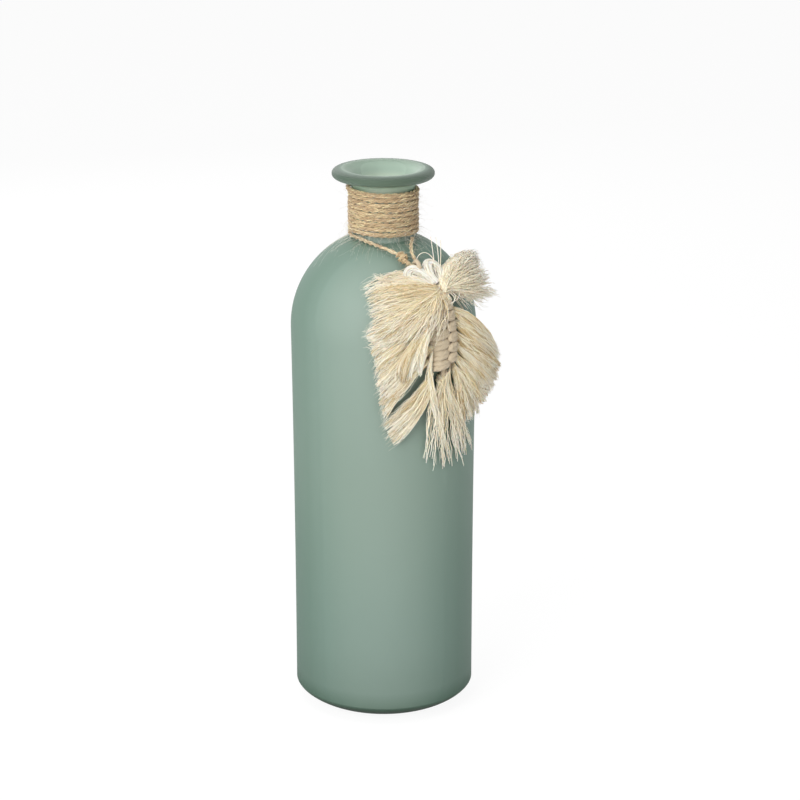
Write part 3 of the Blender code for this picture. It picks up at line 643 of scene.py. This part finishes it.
class Nodes:
    """A node tree whose nodes are added and joined in short calls."""

    def __init__(self, owner):
        owner.use_nodes = True
        self.tree = owner.node_tree

    def feed(self, socket, value):
        """Links the socket to another node's output, or gives it a value of its own."""
        if isinstance(value, bpy.types.NodeSocket):
            self.tree.links.new(value, socket)
        else:
            socket.default_value = value

    def node(self, kind, inputs=(), **settings):
        made = self.tree.nodes.new("ShaderNode" + kind)
        for key, value in settings.items():
            setattr(made, key, value)
        for key, value in dict(inputs).items():
            self.feed(made.inputs[key], value)
        return made

    def maths(self, first, second, operation="ADD"):
        return self.node("Math", {0: first, 1: second}, operation=operation).outputs[0]

    def seen_directly(self):
        """1 for rays from the camera, a reflection or through glass, else 0."""
        rays = self.node("LightPath").outputs
        seen = self.maths(rays["Is Camera Ray"], rays["Is Glossy Ray"], "MAXIMUM")
        return self.maths(seen, rays["Is Transmission Ray"], "MAXIMUM")


class Finish(Nodes):
    """A material with its main shader."""

    def __init__(self, name):
        self.material = bpy.data.materials.new(name)
        super().__init__(self.material)
        self.shader = self.tree.nodes["Principled BSDF"]
        self.output = self.tree.nodes["Material Output"]

    def attribute(self, name, output="Fac"):
        return self.node("Attribute", attribute_name=name).outputs[output]

    def noise(self, vector, scale, detail=4.0, roughness=0.55):
        """Noise over a vector; three scales stretch it by axis."""
        if isinstance(scale, tuple):
            vector = self.node("Mapping", {"Vector": vector, "Scale": scale}).outputs[0]
            scale = 1.0
        inputs = {"Vector": vector, "Scale": scale, "Detail": detail, "Roughness": roughness}
        return self.node("TexNoise", inputs).outputs["Fac"]

    def ramp(self, factor, stops):
        """Blends between stops, each a place with a colour or one number for a grey."""
        made = self.node("ValToRGB", {"Fac": factor})
        elements = made.color_ramp.elements
        while len(elements) < len(stops):
            elements.new(0.5)
        for element, (place, colour) in zip(elements, stops):
            element.position = place
            element.color = (*np.broadcast_to(colour, 3), 1.0)
        return made.outputs["Color"]

    def mix(self, factor, first, second, blend="MIX"):
        made = self.node("Mix", data_type="RGBA", blend_type=blend)
        for index, value in ((0, factor), (6, first), (7, second)):
            self.feed(made.inputs[index], (*value, 1.0) if isinstance(value, tuple) else value)
        return made.outputs[2]

    def times(self, first, second):
        return self.mix(1.0, first, second, "MULTIPLY")

    def bump(self, height, strength, distance):
        made = self.node("Bump", {"Height": height, "Strength": strength, "Distance": distance})
        self.feed(self.shader.inputs["Normal"], made.outputs[0])

    def set(self, **values):
        for key, value in values.items():
            self.feed(self.shader.inputs[key.replace("_", " ")], value)


def toned(colour, factors):
    """The colour with its red, green and blue multiplied, none of them over 1."""
    return tuple(min(1.0, c * f) for c, f in zip(colour, np.broadcast_to(factors, 3)))


def tones_of(colour, stops):
    return [(place, toned(colour, factors)) for place, factors in stops]


# Tints of the glass's colour by share of the height: darker and warmer towards the foot, the
# darkening painted shade near the floor; palest just under the lip, a band of painted light that
# stands for light glowing through the thin neck in the lip's shade
GLASS_TINTS_AND_PAINTED_LIGHT = (
    (0.0, (0.84, 0.77, 0.70)), (0.035, (0.81, 0.83, 0.85)), (0.2, (0.875, 0.90, 0.92)),
    (0.45, 1.0), (0.8, (1.10, 1.09, 1.11)), (0.94, 1.0), (0.955, (1.85, 1.64, 1.60)),
    (0.972, (2.8, 2.4, 2.35)), (0.983, (1.72, 1.62, 1.60)),
)
# How much light passes, by share of the height
GLASS_CLEARNESS = (
    (0.0, 0.0), (0.03, 0.02), (0.06, 0.09), (0.3, 0.11), (0.5, 0.17), (0.85, 0.15), (0.94, 0.1),
    (0.97, 0.22),
)
# Darker where the glass looks thick, and where it is seen aslant
GLASS_DEPTH = ((0.05, 1.0), (0.45, (0.62, 0.66, 0.62)), (1.0, (0.13, 0.17, 0.13)))
GLASS_SLANT = (
    (0.0, 1.0), (0.15, (0.86, 0.90, 0.88)), (0.33, (0.64, 0.74, 0.70)), (0.5, (0.47, 0.60, 0.54)),
    (0.8, (0.38, 0.52, 0.46)),
)


def frosted_glass(name, colour):
    """Satin-etched sage glass, darker where it is thick, with a fine grain and soft clouding; its
    colour also holds painted shade towards the foot and painted light just under the lip.
    """
    finish = Finish(name)
    place = finish.node("TexCoord").outputs["Object"]
    height = finish.node("SeparateXYZ", {0: place}).outputs[2]
    level = finish.maths(height, 1000.0 / VASE_HEIGHT, "MULTIPLY")
    # the height tint paints shade towards the foot and light in the neck band under the lip
    tint_and_painted_light = finish.ramp(level, tones_of(colour, GLASS_TINTS_AND_PAINTED_LIGHT))
    depth = finish.ramp(finish.attribute("thick"), GLASS_DEPTH)
    cloud = finish.noise(place, (9.0, 9.0, 5.0), 2.0)
    shade = finish.ramp(cloud, ((0.3, (0.95, 0.955, 0.95)), (0.7, 1.0)))
    edge = finish.node("LayerWeight", {"Blend": 0.5}).outputs["Facing"]
    slant = finish.ramp(edge, GLASS_SLANT)
    slant = finish.mix(finish.attribute("inner"), slant, (0.86, 0.92, 0.90))
    finish.set(
        Base_Color=finish.times(finish.times(finish.times(tint_and_painted_light, depth), slant), shade),
        Roughness=0.6,
        IOR=1.35,
        Specular_IOR_Level=0.15,
        Transmission_Weight=finish.ramp(level, GLASS_CLEARNESS),
    )
    soaked = finish.node("VolumeAbsorption", {"Color": (0.45, 0.58, 0.48, 1.0), "Density": 150.0})
    finish.feed(finish.output.inputs["Volume"], soaked.outputs[0])
    grain = finish.noise(place, 2600.0, 3.0)
    ripple = finish.noise(place, (60.0, 60.0, 22.0), 2.0)
    finish.bump(finish.maths(grain, finish.maths(ripple, 2.0, "MULTIPLY")), 0.12, 0.0002)
    return finish.material


def jute(name, colour, shadow):
    """Jute: each fibre its own tone from brown to pale straw, flecked along its length."""
    finish = Finish(name)
    fleck = finish.noise(finish.attribute("grain", "Vector"), (1.1, 1.1, 2.2), 4.0, 0.7)
    straw = tuple(min(1.0, 1.45 * c + 0.06) for c in colour)
    tone = finish.ramp(
        finish.attribute("shade"),
        ((0.05, shadow), (0.3, toned(colour, 0.66)), (0.5, colour), (0.85, straw)),
    )
    patch = finish.ramp(fleck, ((0.3, (0.66, 0.59, 0.50)), (0.62, (1.08, 1.07, 1.06))))
    finish.set(
        Base_Color=finish.times(tone, patch),
        Roughness=finish.ramp(fleck, ((0.35, 0.42), (0.65, 0.65))),
        Sheen_Weight=0.2,
        Sheen_Roughness=0.4,
    )
    finish.bump(fleck, 0.3, 0.0001)
    return finish.material


def combed_cotton(name, colour, tip):
    """Combed cotton yarn: cream with yellower and paler threads, whiter at the cut tips: partly
    the paler cut ends, partly painted shade on the denser roots.
    """
    finish = Finish(name)
    shade = finish.attribute("shade")
    fleck = finish.noise(finish.attribute("grain", "Vector"), 0.55, 3.0)
    stops = (
        (0.02, (0.66, 0.55, 0.36)), (0.25, (0.88, 0.81, 0.66)), (0.5, 1.0),
        (0.9, (1.08, 1.15, 1.33)),
    )
    base = finish.ramp(shade, tones_of(colour, stops))
    # whiter towards the tips: partly paler cut ends, partly painted shade left on the roots
    cut = finish.ramp(finish.attribute("run"), ((0.5, 0.0), (1.0, 0.75)))
    pale = finish.ramp(shade, ((0.1, 0.0), (0.5, 1.0)))
    whitened = finish.mix(finish.maths(cut, pale, "MULTIPLY"), base, tip)
    speckle = finish.ramp(fleck, ((0.3, (0.93, 0.92, 0.9)), (0.6, 1.0)))
    finish.set(
        Base_Color=finish.times(whitened, speckle),
        Roughness=0.8,
        Sheen_Weight=0.3,
        Sheen_Roughness=0.5,
        Subsurface_Weight=0.15,
        Subsurface_Scale=0.002,
    )
    return finish.material


def knotted_cotton(name, colour):
    """Cotton cord under tension: fine threads along it, with painted shade in the grooves where
    the threads' bump is low.
    """
    finish = Finish(name)
    grain = finish.attribute("grain", "Vector")
    thread = finish.noise(grain, (0.25, 2.0, 2.0), 4.0, 0.65)
    fine = finish.noise(grain, (0.6, 6.0, 6.0), 2.0)
    # painted shade: the noise that raises the threads also darkens the tone in their grooves
    tone = finish.ramp(thread, tones_of(colour, ((0.3, 0.80), (0.5, 1.0), (0.72, 1.12))))
    finish.set(Base_Color=tone, Roughness=0.85, Sheen_Weight=0.3, Sheen_Roughness=0.5)
    finish.bump(finish.maths(thread, fine), 0.45, 0.00025)
    return finish.material


def finish_named(name):
    """One of the materials, made from the settings when it is first asked for."""
    if name in bpy.data.materials:
        return bpy.data.materials[name]
    scene = bpy.context.scene
    twine, charm = scene.vase_twine, scene.vase_charm
    recipes = {
        "frosted_sage_glass": (frosted_glass, scene.vase_glass.colour),
        "jute_twine": (jute, twine.colour, twine.shadow),
        "jute_loop": (jute, toned(twine.colour, (1.04, 1.09, 1.22)), twine.shadow),
        "jute_fuzz": (jute, (0.80, 0.74, 0.60), twine.colour),
        "combed_cotton": (combed_cotton, charm.cotton, charm.tips),
        "knotted_cotton": (knotted_cotton, charm.knots),
        "white_cotton": (combed_cotton, charm.puffs, charm.puffs),
    }
    make, *colours = recipes[name]
    return make(name, *[tuple(colour) for colour in colours])


# Pieces


def add_piece(name, make_mesh, body, slot, finish, *more, stands_in=True):
    """Adds a piece that rides on a body, in place of its slot's plain solid if it stands in."""
    mesh = make_mesh(name)
    made = bpy.data.objects.new(name, mesh)
    bpy.context.scene.collection.objects.link(made)
    for each in (finish, *more):
        mesh.materials.append(finish_named(each))
    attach(made, body)
    if stands_in:
        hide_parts(slot)
    return made


def winding_path():
    """The twine's centre, from its tucked upper end down to the winding's lower edge."""
    steps = 72
    count = round(TURNS * steps)
    left = (count - np.arange(count + 1)) / steps
    height = WINDING_BOTTOM + TURN_PITCH * left
    flare = np.clip((height - 286.4) / 3.06, 0, 1) ** 2
    return round_axis(WINDING_RADIUS + flare, np.radians(WINDING_END_AZIMUTH - 360 * left), height)


def uneven_path(path, rng, amount):
    """The path with slow sideways wander, as hand-wound twine has."""
    spacing = 11.0
    run = run_along(path) / MM
    knots = np.arange(0, run[-1] + spacing, spacing)
    moved = path.copy()
    moved[:, 2] += MM * amount * np.interp(run, knots, rng.normal(0, 1, len(knots)))
    grow = 1 + amount * np.interp(run, knots, rng.normal(0, 0.5, len(knots))) / 18
    moved[:, :2] *= grow[:, None]
    return moved


def spine_places(half, row, side):
    """Places of a bight's points: along is out from the spine, up and level are in mm."""
    back, front = 1.35, 6.2
    places = []
    middle = FIRST_ROW - row * ROW_PITCH + 0.45 * row
    for along, up, level in half:
        lift = level if side < 0 else back + front - level
        if side > 0:
            up *= 0.8
        elif along < 0:
            up += 2.7 * min(max((level - 3.0) / 3.0, 0.0), 1.0)
        if along < 0:
            along *= 1.18 if side < 0 else 1.36
        azimuth = SPINE_AZIMUTH + side * math.degrees(along / (SHOULDER_RADIUS + lift))
        places.append((azimuth, middle + up + 0.14 * side * along, lift))
    return places


# Half a bight, from its ends to its turn: out from the spine, up from the row and level
BIGHT = (
    (6.1, 0.35, 4.9), (4.8, 0.6, 4.5), (3.3, 0.85, 2.7), (1.6, 1.0, 1.5), (0.0, 1.05, 1.35),
    (-1.8, 1.15, 1.35), (-3.2, 1.45, 1.9), (-4.4, 1.7, 3.6), (-4.9, 1.6, 5.2), (-5.1, 1.1, 6.1),
    (-5.2, 0.4, 6.4),
)
FRONT_BIGHT = BIGHT[:7] + (
    (-4.3, 1.5, 3.9), (-4.9, 1.3, 5.5), (-4.5, 1.2, 6.8), (-3.1, 1.0, 7.6), (-1.7, 0.4, 7.7),
)
BACK_BIGHT = (
    (6.1, 0.35, 4.9), (4.8, 0.6, 4.7), (3.3, 0.85, 4.1), (1.6, 1.0, 2.6), (0.0, 1.05, 1.45),
) + BIGHT[5:]
# The cord's radius by share of the way from the bight's turn to its ends
BIGHT_SHARES = (0, 0.14, 0.3, 0.45, 0.75, 0.86, 1)
FRONT_RADII = (1.6, 1.65, 1.6, 1.6, 1.5, 1.0, 0.85)
BACK_RADII = (1.9, 1.8, 1.85, 1.95, 1.85, 1.2, 0.85)


# Settings

COLOUR = {"subtype": "COLOR", "size": 3, "min": 0, "max": 1}


class VaseGlassSettings(bpy.types.PropertyGroup):
    colour: bpy.props.FloatVectorProperty(
        name="Glass colour", description="Colour of the frosted glass",
        default=(0.285, 0.364, 0.312), **COLOUR,
    )


class VaseTwineSettings(bpy.types.PropertyGroup):
    diameter: bpy.props.FloatProperty(
        name="Twine", description="Diameter of the jute twine", unit="LENGTH", default=0.0024,
    )
    colour: bpy.props.FloatVectorProperty(
        name="Jute colour", description="Colour of the paler jute fibres",
        default=(0.81, 0.605, 0.365), **COLOUR,
    )
    shadow: bpy.props.FloatVectorProperty(
        name="Jute shadow", description="Colour of the darker jute fibres",
        default=(0.37, 0.265, 0.155), **COLOUR,
    )
    fuzz: bpy.props.IntProperty(
        name="Loose fibres", description="Loose fibres on the winding", default=900, min=0,
    )


class VaseCharmSettings(bpy.types.PropertyGroup):
    fibres: bpy.props.IntProperty(
        name="Fibres in a lock", description="Combed fibres in each lock", default=260, min=10,
    )
    cotton: bpy.props.FloatVectorProperty(
        name="Cotton", description="Colour of the combed cotton",
        default=(0.865, 0.73, 0.50), **COLOUR,
    )
    tips: bpy.props.FloatVectorProperty(
        name="Cut tips", description="Colour of the cotton's cut tips",
        default=(0.93, 0.885, 0.78), **COLOUR,
    )
    knots: bpy.props.FloatVectorProperty(
        name="Knots", description="Colour of the knotted cords",
        default=(0.53, 0.437, 0.302), **COLOUR,
    )
    puffs: bpy.props.FloatVectorProperty(
        name="Puffs", description="Colour of the white cotton folds",
        default=(0.84, 0.765, 0.64), **COLOUR,
    )


class VaseStageSettings(bpy.types.PropertyGroup):
    distance: bpy.props.FloatProperty(
        name="Camera distance", description="From the vase's axis to the camera, level",
        unit="LENGTH", default=1.3352,
    )
    height: bpy.props.FloatProperty(
        name="Camera height", description="Height of the camera", unit="LENGTH", default=0.5917,
    )
    pitch: bpy.props.FloatProperty(
        name="Camera pitch", description="How far the camera looks down", subtype="ANGLE",
        default=math.radians(17.5),
    )
    lens: bpy.props.FloatProperty(
        name="Lens", description="Focal length in mm on a 36 mm sensor", default=115.6,
    )


# Operators

# Each lamp's name, place, size and power; all aim at the vase's upper half
LAMPS = (
    ("key", (-0.62, -0.95, 0.72), 0.8, 12.5),
    ("fill", (0.9, -0.8, 0.5), 0.9, 2.7),
    ("top", (-0.2, -0.1, 1.3), 0.9, 5.0),
    ("back", (-0.35, 1.1, 0.7), 1.0, 3.0),
)
LAMP_AIM = (0, 0, 0.17)
CAMERA_SIDE = 0.0089
FLOOR_REACH = 15.0
FLOOR_DROP = 0.0002

# The knot's cut end below its coil, in mm from the coil's middle
KNOT_END = ((0.2, -2.2, 0.2), (1.4, -3.2, -0.6), (2.6, -3.6, -1.8), (3.6, -3.8, -3.4))
KNOT_RADIUS = 2.0
EYE_RADIUS = 2.9
STEM = (
    (30.8, 249.4, 3.2), (34.6, 246.8, 3.3), (36.1, 243.8, 3.4), (36.0, 240.4, 3.5),
    (36.0, 237.2, 3.7), (36.0, 226.0, 3.7), (36.0, 214.0, 3.7), (36.0, 203.0, 3.9),
    (35.7, 196.5, 4.2),
)
PUFF_RADII = (1.5, 2.3, 2.7, 2.8, 2.7, 2.3, 1.5)
FRINGE_SPILL = (0.12, 0.12, 0.12, 0.12, 0.08, 0.05)

# Seeds of the random draws
LOOP_SEED, WINDING_SEED, CORE_SEED, TIE_SEED, THREAD_SEED = 21, 11, 31, 100, 43


class VASE_OT_stage(bpy.types.Operator):
    """Adds the camera, the lamps, the world and the pale floor"""

    bl_idname = "vase.stage"
    bl_label = "Stage"

    def execute(self, context):
        scene = context.scene
        stage = scene.vase_stage
        scene.view_settings.view_transform = "Standard"
        data = bpy.data.cameras.new("camera")
        data.lens = stage.lens
        data.sensor_width = 36.0
        camera = self.placed(scene, "camera", data, (CAMERA_SIDE, -stage.distance, stage.height))
        camera.rotation_euler = (math.pi / 2 - stage.pitch, 0, 0)
        scene.camera = camera
        for name, place, size, power in LAMPS:
            light = bpy.data.lights.new(name, "AREA")
            light.size = size
            light.energy = power
            lamp = self.placed(scene, name, light, place)
            aim = Vector(LAMP_AIM) - Vector(place)
            lamp.rotation_euler = aim.to_track_quat("-Z", "Y").to_euler()

        world = bpy.data.worlds.new("studio")
        scene.world = world
        nodes = Nodes(world)
        inputs = {"Value": nodes.seen_directly(), "To Min": 0.42, "To Max": 1.0}
        background = nodes.tree.nodes["Background"].inputs
        nodes.feed(background["Color"], (1, 1, 1, 1))
        nodes.feed(background["Strength"], nodes.node("MapRange", inputs).outputs[0])

        mesh = bpy.data.meshes.new("floor")
        corners = ((-1, -1), (1, -1), (1, 1), (-1, 1))
        points = [(x * FLOOR_REACH, y * FLOOR_REACH, 0) for x, y in corners]
        mesh.from_pydata(points, [], [(0, 1, 2, 3)])
        floor = self.placed(scene, "floor", mesh, (0, 0, -FLOOR_DROP))
        finish = Finish("pale_floor")
        finish.set(Base_Color=(0.9, 0.9, 0.9, 1), Roughness=1.0, Specular_IOR_Level=0.0)
        white = finish.node("Emission", {"Color": (1, 1, 1, 1), "Strength": 1.04}).outputs[0]
        share = finish.maths(finish.seen_directly(), 0.88, "MULTIPLY")
        both = finish.node("MixShader", {0: share, 1: finish.shader.outputs[0], 2: white})
        finish.feed(finish.output.inputs["Surface"], both.outputs[0])
        mesh.materials.append(finish.material)
        return {"FINISHED"}

    @staticmethod
    def placed(scene, name, data, place):
        made = bpy.data.objects.new(name, data)
        made.location = place
        scene.collection.objects.link(made)
        return made


class VASE_OT_loop(bpy.types.Operator):
    """Makes the hanging twine loop and the knot on its left leg"""

    bl_idname = "vase.loop"
    bl_label = "Hanging loop"

    def execute(self, context):
        radius = context.scene.vase_twine.diameter / MM / 2
        rng = np.random.default_rng(LOOP_SEED)
        place = np.array(LOOP_ROUTE)
        route = spline(place * MM, 8)

        skin = Skin()
        way = (place[LOOP_KNOT_AT + 1] - place[LOOP_KNOT_AT - 1]) * MM
        way /= np.linalg.norm(way)
        side = np.cross(way, (0, 0, 1))
        side /= np.linalg.norm(side)
        turn = np.linspace(-0.2, math.tau * 2.1, 60)
        centre = place[LOOP_KNOT_AT] * MM + 2.2 * MM * way
        coil = (
            centre
            + way * (1.15 * MM * (turn / math.pi - 1.7))[:, None]
            + MM * KNOT_RADIUS * outward(side, np.cross(side, way), turn)
        )
        end = spline((centre / MM + np.array(KNOT_END)) * MM, 6)
        twisted_twine(skin, coil, 1.0, rng, lay=8.0)
        twisted_twine(skin, end, 0.9, rng, lay=8.0)
        stray_fibres(skin, coil, 0.9, 60, 3.0, rng)
        stray_fibres(skin, end[-8:], 0.7, 30, 3.0, rng, lean=1.2)
        knot = add_piece("jute_knot", skin.mesh, "vase", "loop_knot", "jute_twine")

        skin = Skin()
        twisted_twine(skin, route, radius * 0.82, rng, lay=7.5)
        loop = add_piece("jute_loop", skin.mesh, "vase", "hanging_loop", "jute_loop")
        skin = Skin()
        stray_fibres(skin, route, radius, 150, 5.0, rng)
        fuzz = add_piece(
            "jute_loop_fuzz", skin.mesh, "vase", "hanging_loop", "jute_fuzz", stands_in=False
        )
        return {"FINISHED"}


class VASE_OT_glass(bpy.types.Operator):
    """Turns the frosted glass bottle"""

    bl_idname = "vase.glass"
    bl_label = "Frosted glass"

    def execute(self, context):
        add_piece("frosted_bottle", turned_glass, "vase", "glass_bottle", "frosted_sage_glass")
        return {"FINISHED"}


class VASE_OT_winding(bpy.types.Operator):
    """Winds the plied jute twine round the neck, with its loose fibres"""

    bl_idname = "vase.winding"
    bl_label = "Neck winding"

    def execute(self, context):
        twine = context.scene.vase_twine
        radius = twine.diameter / MM / 2
        rng = np.random.default_rng(WINDING_SEED)
        path = uneven_path(winding_path(), rng, 0.14)
        skin = Skin()
        twisted_twine(skin, path, radius * 1.11, rng, lay=11.0, plies=3, fibres=9)
        add_piece("jute_winding", skin.mesh, "vase", "neck_winding", "jute_twine")
        skin = Skin()
        stray_fibres(skin, path, radius, twine.fuzz, 4.5, rng, lean=1.6)
        stray_fibres(
            skin, path[-100:], radius, 320, 8.5, rng, thick=0.042, lean=0.9, droop=2.2, pale=0.8
        )
        add_piece("jute_fuzz", skin.mesh, "vase", "neck_winding", "jute_fuzz", stands_in=False)
        return {"FINISHED"}


class VASE_OT_core(bpy.types.Operator):
    """Makes the charm's core cord: its eye on the twine, its stem and its combed tail"""

    bl_idname = "vase.core"
    bl_label = "Core and tail"

    def execute(self, context):
        rng = np.random.default_rng(CORE_SEED)
        skin = Skin()
        turn = math.radians(SWING_AZIMUTH)
        out = np.array((math.sin(turn), -math.cos(turn), 0.0))
        eye = np.array(PIVOT) + EYE_RADIUS * outward(out, np.array((0, 0, 1.0)), even_turns(48))
        soft_cord(skin, eye * MM, 1.15, rng, closed=True)
        below = np.array(PIVOT) - (0, 0, EYE_RADIUS)
        stem = spline(np.vstack((below * MM, beside_glass(STEM))), 6)
        soft_cord(skin, stem, 1.25, rng)
        combed_lock(
            skin, TAIL, 78, rng, (1.2, 2.6, 1.4), clumps=11, root_size=4.0, wave=1.5, shade=0.62,
            thick=0.28, uneven=0.07, reach=1.0, gather=0.85, spill=0.03, point=0.7, root_turn=1.0,
        )
        combed_lock(
            skin, TAIL, 62, rng, (1.0, 2.4, 1.2), clumps=12, root_size=3.6, wave=1.3, shade=0.5,
            thick=0.15, uneven=0.12, reach=0.9, gather=0.6, root_turn=1.0,
        )
        combed_lock(
            skin, TAIL_FROM_LEFT, 60, rng, (0.8, 1.8, 1.0), clumps=8, root_size=1.4, wave=1.2,
            shade=0.7, thick=0.25, reach=1.0,
        )
        add_piece(
            "charm_core", skin.mesh, "charm", "core_cord", "combed_cotton", "knotted_cotton"
        )
        return {"FINISHED"}


class VASE_OT_tie_cords(bpy.types.Operator):
    """Ties the rows of interlocked cords round the core and combs out their ends"""

    bl_idname = "vase.tie_cords"
    bl_label = "Tie cords and fringe"

    def execute(self, context):
        finish = "combed_cotton", "knotted_cotton"
        count = context.scene.vase_charm.fibres
        for row in range(ROWS):
            for side, word, locks in ((-1, "left", LEFT_LOCKS), (1, "right", RIGHT_LOCKS)):
                rng = np.random.default_rng(TIE_SEED + 10 * row + side)
                skin = Skin()
                self.bight(skin, row, side, rng)
                self.fringe(skin, locks[row], row, side, count, rng)
                slot = f"{word}_tie_cord_{row + 1}"
                add_piece(f"{word}_tie_{row + 1}", skin.mesh, "charm", slot, *finish)
        return {"FINISHED"}

    @staticmethod
    def bight(skin, row, side, rng):
        """The cord's turn round the core and round its partner's ends."""
        half = FRONT_BIGHT if side < 0 else BACK_BIGHT
        upper = spine_places(half, row, side)
        lower = spine_places([(along, -up, level) for along, up, level in half], row, side)
        loop = spline(beside_glass(upper + lower[::-1]), 5)
        share = np.abs(np.linspace(-1, 1, len(loop)))
        radius = np.interp(share, BIGHT_SHARES, FRONT_RADII if side < 0 else BACK_RADII)
        soft_cord(skin, loop, radius, rng, depth=0.12)

    @staticmethod
    def fringe(skin, shape, row, side, count, rng):
        """The cord's combed ends: fine fibres, thicker yarns over them and stray ones."""
        root, middles, tips = shape
        widen = (0.8, -0.9) if side < 0 else (2.2, -1.6)
        shape = root, middles + np.outer(widen, (0, 1, 0)), tips
        tone = 0.40 if side > 0 else 0.42 if row < 4 else 0.33
        tones = 0.22 if side > 0 else 0.17
        spill = FRINGE_SPILL[row]
        combed_lock(
            skin, shape, 2 * count // 3, rng, (1.2, 4.2, 2.6), clumps=11, root_size=1.7, wave=0.6,
            shade=tone, uneven=0.08, gather=0.45, spill=spill, tones=tones,
        )
        combed_lock(
            skin, shape, count // 2, rng, (1.6, 4.8, 3.0), clumps=16, root_size=1.7, wave=0.7,
            shade=tone + 0.12, thick=0.28, uneven=0.1, gather=0.5, spill=spill, point=0.7,
            tones=tones,
        )
        combed_lock(
            skin, shape, count // 4, rng, (1.8, 5.2, 4.2), clumps=40, root_size=1.7, wave=1.6,
            shade=0.8, thick=0.11, uneven=0.11, reach=0.99, gather=0.0, spill=spill + 0.08,
        )
        if side < 0 and row == 1:
            # the golden lock is partly painted shade in the gap beside the middle strands
            combed_lock(
                skin, GOLDEN_SHADE_LOCK, 130, rng, (1.0, 1.6, 1.0), clumps=9, root_size=1.2, wave=0.4,
                shade=0.1,
            )
            combed_lock(
                skin, CREAM_LOCK, 90, rng, (0.8, 1.0, 0.8), clumps=9, root_size=1.6, wave=0.5,
                shade=0.6, thick=0.22, gather=0.4, point=0.7,
            )


class VASE_OT_head(bpy.types.Operator):
    """Makes the head: two bundles with puffs and tufts, the binding and its loose threads"""

    bl_idname = "vase.head"
    bl_label = "Head bundles"

    def execute(self, context):
        finish = "combed_cotton", "white_cotton"
        bundles = (
            # The right tuft's shade is much lighter than the left's: painted light for its side
            # turned away from the key lamp
            ("left", LEFT_PUFF, LEFT_TUFT, 950, (2.4, 5.6, 3.4), 0.36, 41),
            ("right", RIGHT_PUFF, RIGHT_TUFT, 700, (2.4, 5.0, 3.0), 0.76, 42),
        )
        for word, puff, tuft, count, depth, shade, seed in bundles:
            rng = np.random.default_rng(seed)
            skin = Skin()
            yarn_bundle(skin, spline(beside_glass(puff), 8), PUFF_RADII, rng)
            combed_lock(
                skin, tuft, 3 * count // 4, rng, depth, clumps=40, root_size=2.6, wave=0.8,
                shade=shade, tones=0.09,
            )
            combed_lock(
                skin, tuft, count // 3, rng, depth, clumps=40, root_size=2.6, wave=0.9,
                shade=shade + 0.08, thick=0.24, uneven=0.09, point=0.7, tones=0.09,
            )
            combed_lock(
                skin, tuft, count // 4, rng, depth, clumps=60, root_size=2.6, wave=1.7, shade=0.75,
                thick=0.11, uneven=0.12, reach=0.98, gather=0.0, spill=0.09,
            )
            if word == "left":
                combed_lock(
                    skin, HEAD_FRINGE, 130, rng, (1.0, 1.8, 1.2), clumps=12, root_size=2.4,
                    wave=0.9, shade=0.5, thick=0.2, uneven=0.12,
                )
                combed_lock(
                    skin, LEFT_WISP, 34, rng, (0.8, 1.6, 2.0), clumps=7, root_size=1.2, wave=1.6,
                    shade=0.7, thick=0.14, uneven=0.14, gather=0.5,
                )
            add_piece(f"tuft_{word}", skin.mesh, "charm", f"head_bundle_{word}", *finish)
        rng = np.random.default_rng(THREAD_SEED)
        skin = Skin()
        for route in THREADS:
            soft_cord(skin, spline(beside_glass(route), 6), 0.2, rng, sides=8, ridges=3, lay=3)
        add_piece(
            "loose_threads", skin.mesh, "charm", "head_bundle_right", *finish, stands_in=False
        )
        skin = Skin()
        turn = np.linspace(0, 3 * math.tau, 90)
        azimuth = BINDING_AZIMUTH + np.cos(turn) * math.degrees(4.0 / 47)
        height = BINDING_HEIGHT + 1.25 * (turn / math.tau - 1.5)
        places = np.stack((azimuth, height, 4.3 + 3.6 * np.sin(turn)), -1)
        soft_cord(skin, beside_glass(places), 0.42, rng, sides=10, ridges=5, lay=4)
        add_piece("binding", skin.mesh, "charm", "binding_thread", *finish)
        return {"FINISHED"}


class VASE_PT_panel(bpy.types.Panel):
    """Lists the vase's pieces and their settings"""

    bl_label = "Bottle vase"
    bl_idname = "VASE_PT_panel"
    bl_space_type = "VIEW_3D"
    bl_region_type = "UI"
    bl_category = "Vase"

    def draw(self, context):
        layout = self.layout
        for key, group in SETTINGS.items():
            for name in group.__annotations__:
                layout.prop(getattr(context.scene, key), name)
        for operator in OPERATORS:
            layout.operator(operator.bl_idname)


SETTINGS = {
    "vase_glass": VaseGlassSettings,
    "vase_twine": VaseTwineSettings,
    "vase_charm": VaseCharmSettings,
    "vase_stage": VaseStageSettings,
}
OPERATORS = (
    VASE_OT_stage, VASE_OT_loop, VASE_OT_glass, VASE_OT_winding, VASE_OT_core, VASE_OT_tie_cords,
    VASE_OT_head,
)
CLASSES = (*SETTINGS.values(), *OPERATORS, VASE_PT_panel)


def register():
    for each in CLASSES:
        bpy.utils.register_class(each)
    for key, group in SETTINGS.items():
        setattr(bpy.types.Scene, key, bpy.props.PointerProperty(type=group))


def unregister():
    for key in SETTINGS:
        delattr(bpy.types.Scene, key)
    for each in reversed(CLASSES):
        bpy.utils.unregister_class(each)


def main():
    register()
    for operator in OPERATORS:
        step = getattr(bpy.ops.vase, operator.bl_idname.split(".")[1])
        if step() != {"FINISHED"}:
            raise RuntimeError(f"{operator.bl_label} did not finish")


if __name__ == "__main__":
    main()
